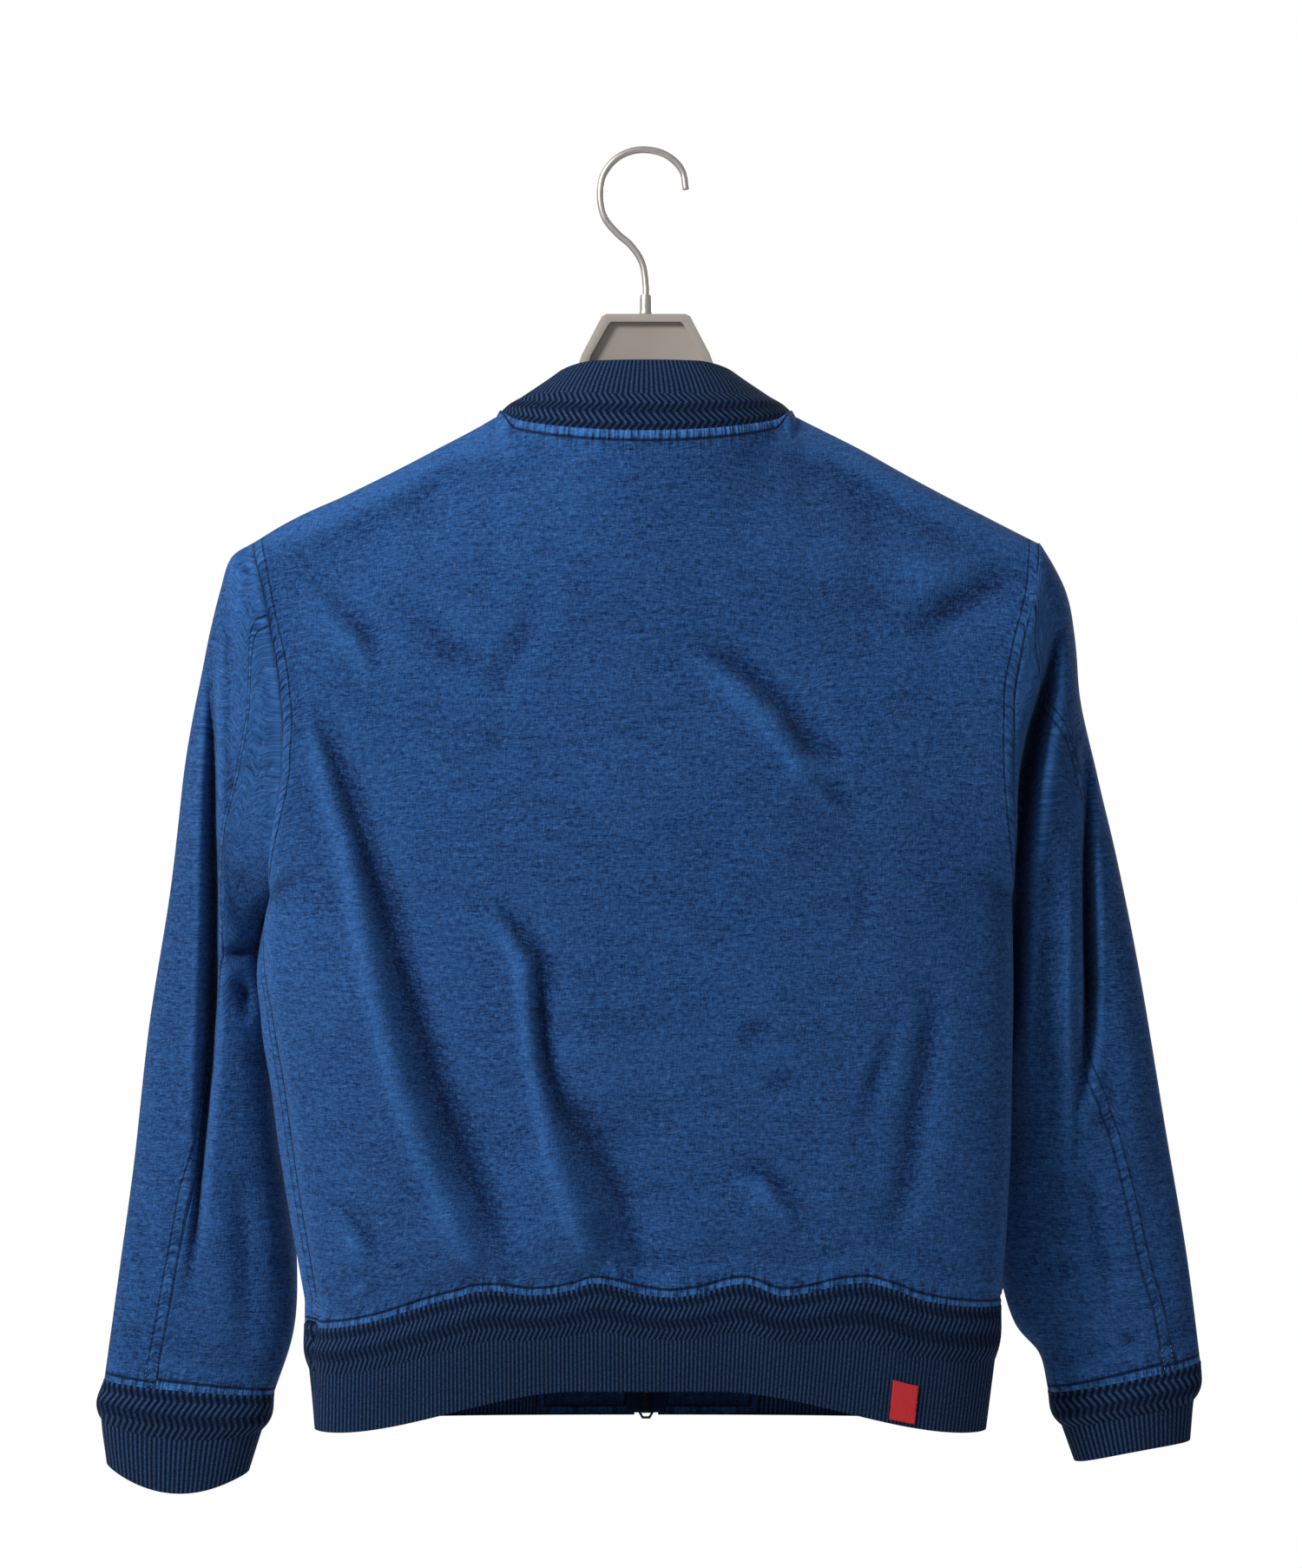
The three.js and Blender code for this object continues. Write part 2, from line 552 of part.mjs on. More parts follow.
// Hem: the rib runs round the back from block to block
const hemRows = [0, 0.1, 0.4, 0.46, 1];
const blockShare = BLOCK / HEM_HALF;
const hemRound = evenly((lap) => hemPoint(lap, 0.5), blockShare, 4 - blockShare, 268);
const hemLevel = (i) => (i === 0 ? UP : null);
add(
  "hem_rib",
  wall(hemRows.map((down) => hemRound.map((lap) => hemPoint(lap, down))), {
    thick: KNIT,
    raise: (i, j) => (i >= 3 && j % 2 === 1 ? RIB : 0) + (i === 1 || i === 2 ? RIB : 0),
    every: 4,
    level: hemLevel,
    facing: -1,
  }),
  knit,
);
for (const [name, from, to] of [
  ["hem_block_left", ZIP_EDGE / HEM_HALF, blockShare],
  ["hem_block_right", 4 - blockShare, 4 - ZIP_EDGE / HEM_HALF],
]) {
  const laps = Array.from({ length: 6 }, (_, k) => lerp(from, to, k / 5));
  add(
    name,
    wall([0, 0.33, 0.67, 1].map((down) => laps.map((lap) => hemPoint(lap, down))), {
      thick: CANVAS,
      level: hemLevel,
      facing: -1,
    }),
    canvas,
  );
}

// Hem tab: a plain flag of red twill sewn on the rib at the right of the back
const tabLaps = [2.71, 2.735, 2.76, 2.785];
const tabRows = [0.66, 0.8, 0.97];
const TAB_LIFT = RIB + TWILL + 0.6; // its outer side stands this far off the knit under the ribs
add(
  "hem_tab",
  wall(tabRows.map((down) => tabLaps.map((lap) => hemPoint(lap, down).add(new THREE.Vector3(0, TAB_LIFT, 0)))), {
    thick: TWILL,
    facing: -1,
  }),
  redTwill,
);

// Zip: two tapes and the chain follow the inner side of the fronts from the hem to the collar top
const ZIP_INSIDE = CANVAS + 0.85; // from the fronts' outer side to the tape's outer side
const zipLine = [
  ...[0.97, 0.67, 0.33, 0].map((down) => ({ hem: down })),
  ...downStations.slice(1, -1).reverse().map((down) => ({ trunk: down })),
  ...[0.03, 0.25, 0.5, 0.75, 0.93].map((up) => ({ collar: up })),
];
function zipPoint(x, place, inside) {
  const off = Math.abs(x) + 1e-6;
  const side = Math.sign(x) || 1;
  let p;
  if (place.hem !== undefined) p = hemPoint(side > 0 ? off / HEM_HALF : 4 - off / HEM_HALF, place.hem);
  else if (place.trunk !== undefined) p = trunk(-1, (side * off) / PANEL_HALF, place.trunk);
  else {
    const half = lerp(NECK.x, COLLAR_TOP.x, place.collar);
    p = collarPoint(side * (Math.PI - Math.asin(off / half)), place.collar);
  }
  p.x = MID + x;
  p.y += inside + (place.collar === undefined ? 0 : 0.7);
  return p;
}
const zipWall = (xs, inside, thick) =>
  wall(zipLine.map((place) => xs.map((x) => zipPoint(x, place, inside))), { thick, trim: 0 });
add("zip_tape_left", zipWall([2.7, 7, 12], ZIP_INSIDE, 0.8), tape);
add("zip_tape_right", zipWall([-12, -7, -2.7], ZIP_INSIDE, 0.8), tape);
add("zip_chain", zipWall([-2.3, 0, 2.3], ZIP_INSIDE - 0.8, 2.4), darkMetal);

// manifold-3d joins and cuts the hard pieces
const wasm = await Module();
wasm.setup();
function toManifold(geometry) {
  const bare = geometry.clone();
  bare.deleteAttribute("normal");
  bare.deleteAttribute("uv");
  const merged = mergeVertices(bare, 1e-4);
  return new wasm.Manifold(
    new wasm.Mesh({
      numProp: 3,
      vertProperties: merged.attributes.position.array,
      triVerts: new Uint32Array(merged.index.array),
    }),
  );
}
function fromManifold(body) {
  const mesh = body.getMesh();
  const geometry = new THREE.BufferGeometry();
  geometry.setAttribute("position", new THREE.Float32BufferAttribute(mesh.vertProperties, 3));
  geometry.setIndex([...mesh.triVerts]);
  return geometry;
}
const join = (...pieces) => pieces.map(toManifold).reduce((a, b) => a.add(b));

// An outline in the plane of two axes, given as [a, b] points, extruded along the third
function slab(outline, thick, holes = []) {
  const shape = new THREE.Shape(outline.map(([a, b]) => new THREE.Vector2(a, b)));
  shape.holes = holes.map((hole) => new THREE.Path(hole.map(([a, b]) => new THREE.Vector2(a, b))));
  const geometry = new THREE.ExtrudeGeometry(shape, { depth: thick, bevelEnabled: false });
  return geometry.translate(0, 0, -thick / 2);
}

// Sliders: a plate in front of the chain with a bridge, which the ring of its pull hangs in
const PULL = { radius: 5.3, bar: 1.5, thick: 1.4, out: 1.3, down: 1.25 };
const PLATE = 2; // thickness of a slider's plate
function sliderGeometry() {
  const plate = slab(
    [[-3.2, 6], [3.2, 6], [4.5, 3.5], [4, -3.5], [3, -6], [-3, -6], [-4, -3.5], [-4.5, 3.5]],
    PLATE,
  ).rotateX(Math.PI / 2);
  plate.translate(0, PLATE / 2, 0);
  const bridge = slab(
    [[1, 3.4], [-2.6, 3.4], [-3.5, 2.5], [-3.5, -2.5], [-2.6, -3.4], [1, -3.4]],
    2.2,
    [[[-0.01, 2.4], [-0.01, -2.4], [-2.2, -2.4], [-2.6, -2], [-2.6, 2], [-2.2, 2.4]]],
  );
  bridge.applyMatrix4(new THREE.Matrix4().makeBasis(THROUGH, UP, ACROSS));
  return fromManifold(join(plate, bridge));
}
function pullGeometry() {
  const hexagon = (radius) =>
    Array.from({ length: 6 }, (_, k) => [radius * Math.cos(k * 60 * radians), radius * Math.sin(k * 60 * radians)]);
  const inner = PULL.radius - PULL.bar / Math.cos(30 * radians);
  const ring = slab(hexagon(PULL.radius), PULL.thick, [hexagon(inner)]).rotateX(Math.PI / 2);
  const topBar = PULL.radius * Math.cos(30 * radians) - PULL.bar / 2;
  return ring.translate(0, 0, -topBar);
}
function slider(name, place, above, below) {
  const seat = zipPoint(0, place, ZIP_INSIDE - 1.5);
  const rise = zipPoint(0, above, 0).sub(zipPoint(0, below, 0));
  const tilt = Math.atan2(-rise.y, rise.z);
  const body = add(`zip_slider_${name}`, sliderGeometry(), darkMetal);
  body.rotation.x = tilt;
  body.position.copy(seat).add(new THREE.Vector3(0, -PLATE, 0).applyAxisAngle(ACROSS, tilt));
  const pull = add(`zip_pull_${name}`, pullGeometry(), darkMetal);
  const eye = new THREE.Vector3(0, -PULL.out, -PULL.down).applyAxisAngle(ACROSS, tilt);
  pull.position.copy(body.position).add(eye);
}
slider("bottom", { hem: 0.88 }, { hem: 0.75 }, { hem: 1 });
slider("top", { collar: 0.8 }, { collar: 0.9 }, { collar: 0.65 });

// Hanger: arms under the shoulders, a frame that rises through the collar, and the hook
const HANGER = { tip: 214, top: -102.5, deep: 5.5 };
function hangerArms() {
  const stations = [-214, -208, -180, -150, -120, -100, -86, -70, -40, 0, 40, 70, 86, 100, 120, 150, 180, 208, 214];
  const turns = 8;
  const sections = stations.map((reach) => {
    const x = MID + reach;
    const share = Math.abs(reach);
    const end = 1 - step(200, 216, share) * 0.35;
    const under = lerp(-190, shoulderLine(x) - CANVAS - 2, step(50, 100, share));
    const deep = lerp(7.5, 14.5, step(84, 150, share)) * end;
    const high = lerp(34, 24, share / HANGER.tip) * end;
    const ring = [];
    for (let k = 0; k <= turns; k++) {
      const a = (k / turns) * Math.PI;
      ring.push(new THREE.Vector3(x, -deep * Math.cos(a), under - deep + deep * Math.sin(a) - (1 - end) * 8));
    }
    ring.push(new THREE.Vector3(x, deep * 0.9, under - high - (1 - end) * 8));
    ring.push(new THREE.Vector3(x, -deep * 0.9, under - high - (1 - end) * 8));
    return ring;
  });
  const around = sections[0].length;
  const points = sections.flat();
  const faces = [];
  for (let i = 0; i < sections.length - 1; i++) {
    for (let k = 0; k < around; k++) {
      const a = i * around + k;
      const b = i * around + ((k + 1) % around);
      faces.push(a, b, b + around, a, b + around, a + around);
    }
  }
  const last = (sections.length - 1) * around;
  for (let k = 1; k < around - 1; k++) {
    faces.push(0, k + 1, k);
    faces.push(last, last + k, last + k + 1);
  }
  return solid(points, faces);
}
function hangerFrame() {
  const edge = [[0, HANGER.top], [25, HANGER.top], [28, -104], [30, -108], [40.5, -128], [47, -146], [62, -172], [84, -186]];
  const outline = [...edge, [84, -200], [-84, -200], ...edge.slice(1).reverse().map(([x, z]) => [-x, z])];
  const recess = [[22, -107.5], [24, -109.5], [35, -129], [40, -146], [-40, -146], [-35, -129], [-24, -109.5], [-22, -107.5]];
  const plate = toManifold(slab(outline, 2 * HANGER.deep).rotateX(Math.PI / 2));
  const pocket = slab(recess, 2 * HANGER.deep).rotateX(Math.PI / 2);
  const web = HANGER.deep + 1.6;
  const front = toManifold(pocket.clone().translate(0, -web, 0));
  const back = toManifold(pocket.clone().translate(0, web, 0));
  return plate.subtract(front).subtract(back).translate([MID, 0, 0]);
}
add("hanger_body", fromManifold(toManifold(hangerArms()).add(hangerFrame())), pearl);

const WIRE = 2.2; // radius of the hook's wire, whose inner side at the top is the origin
const hookLine = [
  [-30, -23], [-27.5, -11], [-17, -1], [-1, WIRE], [13, -2.5], [22, -13], [24.4, -27], [21.5, -41],
  [13.5, -51], [5, -58.5], [-2, -69], [MID, -83], [MID, -95],
];
function hookGeometry() {
  const curve = new THREE.CatmullRomCurve3(hookLine.map(([x, z]) => new THREE.Vector3(x, 0, z)), false, "centripetal");
  const section = new THREE.Shape(
    Array.from({ length: 8 }, (_, k) => {
      const a = (k + 0.5) * 45 * radians;
      return new THREE.Vector2(WIRE * Math.cos(a), WIRE * Math.sin(a));
    }),
  );
  const wire = new THREE.ExtrudeGeometry(section, { steps: 40, extrudePath: curve, bevelEnabled: false });
  const profile = [[0, -102.2], [4.4, -102.2], [4.4, -91.5], [3.4, -90], [0, -90]];
  const ferrule = new THREE.LatheGeometry(profile.map(([r, z]) => new THREE.Vector2(r, z)), 16);
  ferrule.rotateX(Math.PI / 2).translate(MID, 0, 0);
  return fromManifold(join(wire, ferrule));
}
add("hanger_hook", hookGeometry(), nickel);

export default jacket;
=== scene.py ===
import math
import bpy
import numpy as np
from contextlib import contextmanager
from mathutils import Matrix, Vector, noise


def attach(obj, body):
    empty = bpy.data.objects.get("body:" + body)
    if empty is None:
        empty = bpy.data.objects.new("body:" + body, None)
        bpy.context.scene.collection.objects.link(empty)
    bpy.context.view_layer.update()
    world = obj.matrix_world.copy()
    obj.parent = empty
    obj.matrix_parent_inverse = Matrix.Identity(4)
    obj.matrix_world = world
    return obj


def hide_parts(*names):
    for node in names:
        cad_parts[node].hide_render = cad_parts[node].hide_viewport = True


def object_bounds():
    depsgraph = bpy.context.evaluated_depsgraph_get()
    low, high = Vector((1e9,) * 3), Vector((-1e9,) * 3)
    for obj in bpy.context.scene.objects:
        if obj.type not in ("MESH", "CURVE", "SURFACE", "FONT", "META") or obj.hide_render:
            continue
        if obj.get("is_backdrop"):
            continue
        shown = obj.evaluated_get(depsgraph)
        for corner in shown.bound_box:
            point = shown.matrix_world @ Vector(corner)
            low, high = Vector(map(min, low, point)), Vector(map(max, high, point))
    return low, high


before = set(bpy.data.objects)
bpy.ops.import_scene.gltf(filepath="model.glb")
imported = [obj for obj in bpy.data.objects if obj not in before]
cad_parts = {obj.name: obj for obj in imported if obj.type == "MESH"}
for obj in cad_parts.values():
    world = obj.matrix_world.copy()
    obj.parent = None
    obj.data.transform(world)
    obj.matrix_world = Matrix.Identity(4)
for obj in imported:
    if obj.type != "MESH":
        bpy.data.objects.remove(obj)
cad_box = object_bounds()

# The back: one piece of indigo canvas, felled to the sleeves and side seams, with two short
# darts in the shoulders. It hangs in long soft folds from the shoulders and bags over the hem.
MM = 0.001
MID = -4.5  # the centre line, in mm as every size here
HALF = 248  # half of the trunk's width, which a panel's shares are counted in
NECK_SHARE = 92 / HALF
SHOULDER_TIP, UNDERARM = -248.5, -469
CANVAS = 1.7  # the wall: two plies with their seam allowances
STRIP, NECK_STRIP = 5.3, 6.4  # from the seam with the knit to the stitched line
FELL_EDGE, FELL = 1.4, 7.4  # from a felled seam to its two rows of stitches


def line_through(points):
    """A smooth line through (place, value) points."""
    t, v = np.array(points, float).T
    k = np.arange(len(t))
    before, after = np.maximum(k - 1, 0), np.minimum(k + 1, len(t) - 1)
    slope = (v[after] - v[before]) / (t[after] - t[before])

    def at(x):
        x = np.clip(x, t[0], t[-1])
        i = np.clip(np.searchsorted(t, x) - 1, 0, len(t) - 2)
        width = t[i + 1] - t[i]
        s = (x - t[i]) / width
        near = v[i] + s * width * slope[i]
        far = v[i + 1] - (1 - s) * width * slope[i + 1]
        return near + (far - near) * s * s * (3 - 2 * s)

    return at


def step(low, high, value):
    """0 below low, 1 above high, and smooth between them."""
    t = np.clip((value - low) / (high - low), 0, 1)
    return t * t * (3 - 2 * t)


def mix(a, b, t):
    return a + (b - a) * t


shoulder_line = line_through([
    (-252.5, -249), (-223, -234), (-174, -208.5), (-139, -189), (-96.5, -167), (-60, -147),
    (50, -147), (87.5, -167), (112, -181), (183, -217.5), (215, -232), (243.5, -248.5)])
left_edge = line_through([
    (-726, 200.5), (-693, 206), (-644, 214), (-590, 221.5), (-545, 229), (-496, 235.5),
    (-469, 232), (-440, 229.5), (-403, 222.5), (-382, 221), (-349, 222), (-302, 231), (-248.5, 243.5)])
right_edge = line_through([
    (-724, -227), (-672, -231.5), (-580, -234.5), (-484, -235), (-440, -234),
    (-361, -233), (-318, -239), (-285, -247.5), (-248.5, -252.5)])
hem_seam = line_through([
    (-227, -729), (-179, -722), (-154, -713), (-129, -710), (-89, -717), (-65, -709.5), (-34, -716),
    (-4, -716), (27, -709), (45, -713), (74, -716.5), (98, -714), (124, -718.5), (158, -728),
    (185, -736), (217, -742)])
back_depth = line_through([(-740, 47), (-700, 53), (-600, 56), (-450, 58), (-300, 55), (-180, 50)])
front_depth = line_through([(-745, 46), (-705, 52), (-600, 55), (-450, 59), (-300, 62), (-240, 64)])
left_swell = line_through([(-726, 12), (-645, 13), (-590, 13), (-545, 12), (-500, 6), (-469, 0)])


def neck_seam(c):
    """y and z of the neck seam, c being the cosine of the angle from the back's centre."""
    behind = 16 * np.maximum(c, 0) ** 1.3
    before = 80 * np.maximum(-c, 0) ** 1.2
    return -8 + 58 * c, -166 - behind - before


def crown_of(share):
    return np.maximum(1 - share ** 2.6, 0) ** (1 / 2.6)


def trunk(face, across, down):
    """Points of the body: face 1 is the back and -1 the front, across runs from -1 to 1 towards
    the left side, and down from 0 at the shoulder or neck seam to 1 at the hem seam."""
    share = np.abs(across)
    left = across > 0
    in_neck = share < NECK_SHARE
    lean = np.arcsin(np.minimum(share / NECK_SHARE, 1))
    seam_y, seam_z = neck_seam(face * np.cos(lean))
    open_ = np.where(in_neck, step(60, 90, np.degrees(lean)), 1)
    curl = mix(2.5, 20, open_ * mix(0.7, 1, np.clip((share - NECK_SHARE) / 0.3, 0, 1)))
    start = -face * 8 * open_
    x_top = MID + share * (np.where(left, left_edge(SHOULDER_TIP), right_edge(SHOULDER_TIP)) - MID)
    ridge_y = np.where(in_neck, seam_y - face * curl * np.sin(start / curl), 0)
    ridge_z = np.where(in_neck, seam_z + curl * (1 - np.cos(start / curl)), shoulder_line(x_top))
    bottom = hem_seam(x_top * 0.9)
    if face < 0:
        bottom = mix(-747, bottom, share ** 6)
    run = ridge_z - bottom - curl + curl * np.pi / 2
    arc = run * down + start * np.maximum(0, 1 - down / 0.3)
    quarter = curl * np.pi / 2
    over = arc < quarter
    drop = np.where(over, curl * (1 - np.cos(arc / curl)), curl + arc - quarter)
    out = np.where(over, curl * np.sin(arc / curl), curl)
    z = ridge_z - drop
    depth = back_depth(z) if face > 0 else front_depth(z)
    plain = mix(52 if face > 0 else 64, 20, step(0, 0.6, share))
    level = np.maximum(0, shoulder_line(x_top) - 20 - z)
    settled = plain + (depth - plain) * (1 - np.exp(-level / 70))
    hung = mix(settled, face * ridge_y + curl, np.exp(-np.maximum(0, drop - curl) / 20))
    middle = np.where(over, face * ridge_y + out, hung)
    lobe = np.sqrt(np.maximum(0, 1 - (1 - 2 * drop / (SHOULDER_TIP - UNDERARM)) ** 2))
    above = drop < SHOULDER_TIP - UNDERARM
    lag = np.where(left, 12, 4) * step(UNDERARM, UNDERARM - 60, z)
    edge_y = np.where(above, np.sign(arc) * 42 * lobe, face * lag)
    crown = crown_of(share)
    # Only the last few millimetres follow the armhole's end, and the cloth beside it eases over
    eased = np.where(drop < 110, edge_y, mix(42, face * lag, step(110, 290, drop)))
    near_y = eased + (edge_y - eased) * share ** 14
    y = near_y + (middle - near_y) * crown
    x = MID + share * (np.where(left, left_edge(z), right_edge(z)) - MID)
    if face < 0:
        x = x + np.where(left, left_swell(z) * step(0.4, 0.97, share) * np.sqrt(crown) * 2, 0)
    return np.stack([x, face * y, z], axis=-1)


def crease(x, z, line, width, high, kind):
    """Height of one crease at points of a panel. A roll falls from a crest on its +X side to a
    trough on its -X side, its width being half of that flank, and eases off beyond both. A ridge
    or a trough is even. Widths and heights run along the line."""
    best = np.full(x.shape, 1e9)
    side = np.ones(x.shape)
    along = np.zeros(x.shape)
    pieces = len(line) - 1
    for i in range(pieces):
        (ax, az), (bx, bz) = line[i], line[i + 1]
        dx, dz = bx - ax, bz - az
        t = np.clip(((x - ax) * dx + (z - az) * dz) / (dx * dx + dz * dz), 0, 1)
        far = np.hypot(x - ax - dx * t, z - az - dz * t)
        nearer = far < best
        best = np.where(nearer, far, best)
        side = np.where(nearer, np.sign((x - ax) * dz - (z - az) * dx), side)
        along = np.where(nearer, (i + t) / pieces, along)
    wide = np.interp(along, np.linspace(0, 1, len(width)), width)
    tall = np.interp(along, np.linspace(0, 1, len(high)), high)
    d = best / wide
    if kind == "roll":
        flank = d / (1 + d ** 7) ** (1 / 7)
        shape = -side * flank * np.exp(-np.maximum(d - 1.1, 0) / np.where(side < 0, 3.0, 2.3))
    else:
        shape = np.exp(-d * d) * (1 if kind == "ridge" else -1)
    return shape * tall


BACK_FOLDS = [
    ("roll", (1.5, 4, 5, 8.4, 11, 12, 12, 11.5, 11), (0, 5, 7.5, 11, 13, 13.5, 13, 11, 3),
     [(205, -352), (190, -392), (175, -437), (162, -485), (149, -535), (135, -585), (120, -624),
      (103, -666), (89, -697)]),
    ("roll", (3, 3.5, 4, 4, 4.5, 7, 13, 15, 14), (0, 4, 6, 6, 6.5, 9, 13, 14, 7),
     [(92, -474), (77, -492), (66, -512), (64, -545), (60, -575), (51, -603), (39, -628),
      (24, -661), (15, -692)]),
    ("roll", (2.5, 3), (1, 3, 0), [(65, -500), (51, -537)]),
    ("roll", (4.5, 3.5), (0, 3.5, 0), [(209, -275), (174, -310), (158, -339)]),
    ("trough", (13, 9), (1, 3.5, 0), [(142, -291), (116, -318), (86, -334)]),
    ("trough", (9, 12), (2, 3, 0), [(86, -334), (73, -312), (58, -275)]),
    ("roll", (5, 7), (0, 5, 7, 7, 0), [(-29, -312), (-67, -339), (-88, -360), (-104, -382), (-128, -393)]),
    ("roll", (3, 3), (1, 2, 0), [(-109, -398), (-136, -427)]),
    ("trough", (11, 10), (2, 5, 0), [(-238, -269), (-195, -291), (-168, -312)]),
    ("ridge", (14, 14), (0, 2.5, 0), [(-225, -252), (-180, -272), (-150, -290)]),
    ("trough", (7, 8), (0, 2.5, 0), [(-91, -545), (-72, -553), (-61, -567)]),
    ("trough", (9, 9), (0, 2, 0), [(-88, -575), (-88, -592)]),
    ("roll", (3.5, 4), (0, 3.5, 0), [(-56, -639), (-77, -644), (-91, -660), (-101, -682)]),
    ("trough", (9, 11), (0, 4, 4, 4, 0),
     [(-179, -516), (-180, -559), (-171, -612), (-166, -650), (-147, -693)]),
    ("trough", (6, 6), (0, 2.5, 0), [(-163, -532), (-147, -580), (-134, -623)]),
    ("trough", (6, 6), (0, 1.8, 0), [(-139, -452), (-138, -505)]),
    ("trough", (7, 7), (0, 0.8, 0), [(116, -548), (19, -546), (-72, -549)]),
    ("roll", (3, 3.5), (0, 3, 0), [(190, -658), (172, -682), (164, -698)]),
    ("trough", (5, 6), (0, 2.5, 0), [(174, -703), (155, -718)]),
    ("ridge", (9, 9), (0, 2.5, 0), [(172, -706), (166, -716)]),
    ("trough", (5, 5), (0, 0.8, 0), [(19, -221), (-29, -194)]),
    ("trough", (7, 7), (0, 1.2, 0), [(105, -377), (89, -375), (73, -387)]),
    ("ridge", (22, 26), (0, 2.5, 2.5, 0), [(-66, -238), (-110, -256), (-170, -262), (-225, -262)]),
]


def ripples(points, size, seed):
    """Even, soft unevenness of about that size in mm, between -1 and 1."""
    at = points / size + seed
    return np.array([noise.noise(p) for p in at.reshape(-1, 3)]).reshape(points.shape[:-1])


def surface_normals(points):
    along = np.gradient(points, axis=1)
    downward = np.gradient(points, axis=0)
    n = np.cross(along, downward)
    return n / np.maximum(np.linalg.norm(n, axis=-1, keepdims=True), 1e-9)


def lengths_along(points, axis=0):
    """How far each point lies along its line, or along its line of a grid."""
    gaps = np.linalg.norm(np.diff(points, axis=axis), axis=-1)
    return np.insert(np.cumsum(gaps, axis=axis), 0, 0, axis=axis)


def evened(values, reach, axes=(0, 1)):
    """values, averaged over that many neighbours each way along the grid's axes."""
    for axis in axes:
        pad = [(reach, reach) if a == axis else (0, 0) for a in range(values.ndim)]
        total = np.cumsum(np.pad(values, pad, mode="edge"), axis=axis)
        total = np.insert(total, 0, 0, axis=axis)
        n = values.shape[axis]
        high = np.take(total, np.arange(2 * reach + 1, 2 * reach + 1 + n), axis=axis)
        low = np.take(total, np.arange(0, n), axis=axis)
        values = (high - low) / (2 * reach + 1)
    return values


@contextmanager
def all_in_edit_mode():
    bpy.ops.object.mode_set(mode="EDIT")
    bpy.ops.mesh.select_all(action="SELECT")
    yield
    bpy.ops.object.mode_set(mode="OBJECT")


grids = {}


def cloth(name, points, normals, thick, raised, marks, reach=3, closed=False):
    """A sheet of cloth through a grid of points in mm, its wall given inwards, with a UV map in
    metres of cloth and the marks that its material reads. normals point outwards, and raised is
    how far its outer side stands off the grid. A closed sheet's two ends are one."""
    rows, columns = points.shape[:2]
    bpy.ops.object.select_all(action="DESELECT")
    bpy.ops.mesh.primitive_grid_add(x_subdivisions=columns - 1, y_subdivisions=rows - 1, size=1)
    sheet = bpy.context.object
    sheet.name = sheet.data.name = name
    mesh = sheet.data
    mesh.vertices.foreach_set("co", (points * MM).ravel())
    if np.sum(surface_normals(points) * normals) > 0:
        mesh.flip_normals()
    # The weave's own measure: along the rows and down the columns
    u = lengths_along(points[..., :2], 1)
    u -= u[:, columns // 2][:, None]
    v = -lengths_along(points[..., 1:], 0)
    level = rows // 2
    v += (points[level, :, 2] - v[level])[None]
    corner = np.empty(len(mesh.loops), np.int32)
    mesh.loops.foreach_get("vertex_index", corner)
    uv = np.stack([u.ravel()[corner], v.ravel()[corner]], axis=-1) * MM
    mesh.uv_layers[0].data.foreach_set("uv", uv.ravel())
    outside = points + normals * raised[..., None]
    # Lighter where the outer side stands out and darker in its hollows and folds: real fading of the indigo
    # on seams and ridges, and painted shade in the folds.
    stands_out = np.sum((outside - evened(outside, reach)) * normals, axis=-1)
    marks = {"wear_and_fold_shade": np.clip(0.5 + evened(stands_out, 1) * 0.35, 0, 1), **marks}
    for mark, value in marks.items():
        mesh.attributes.new(name=mark, type="FLOAT", domain="POINT").data.foreach_set(
            "value", np.broadcast_to(value, (rows, columns)).astype(np.float32).ravel())
    lift = mesh.attributes.new(name="lift", type="FLOAT_VECTOR", domain="POINT")
    lift.data.foreach_set("vector", ((outside - points) * MM).astype(np.float32).ravel())
    if closed:
        with all_in_edit_mode():
            bpy.ops.mesh.remove_doubles(threshold=0.00002)
    bpy.ops.object.shade_smooth()
    wall = sheet.modifiers.new("wall", "SOLIDIFY")
    wall.thickness = thick * MM
    wall.offset = -1
    bpy.ops.object.modifier_apply(modifier="wall")
    # The outer side's points are the first half of the walled sheet's
    place = np.empty((len(mesh.vertices), 3), np.float32)
    raised_by = np.empty_like(place)
    mesh.vertices.foreach_get("co", place.ravel())
    mesh.attributes["lift"].data.foreach_get("vector", raised_by.ravel())
    half = len(place) // 2
    place[:half] += raised_by[:half]
    mesh.vertices.foreach_set("co", place.ravel())
    mesh.attributes.remove(mesh.attributes["lift"])
    mesh.update()
    grids[name] = (outside, normals)
    return sheet


def dress(piece, material, node=None, body="jacket_and_hanger"):
    """Gives a piece its material and its body, and hides the CAD node that it stands for."""
    piece.data.materials.append(material)
    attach(piece, body)
    if node:
        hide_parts(node)


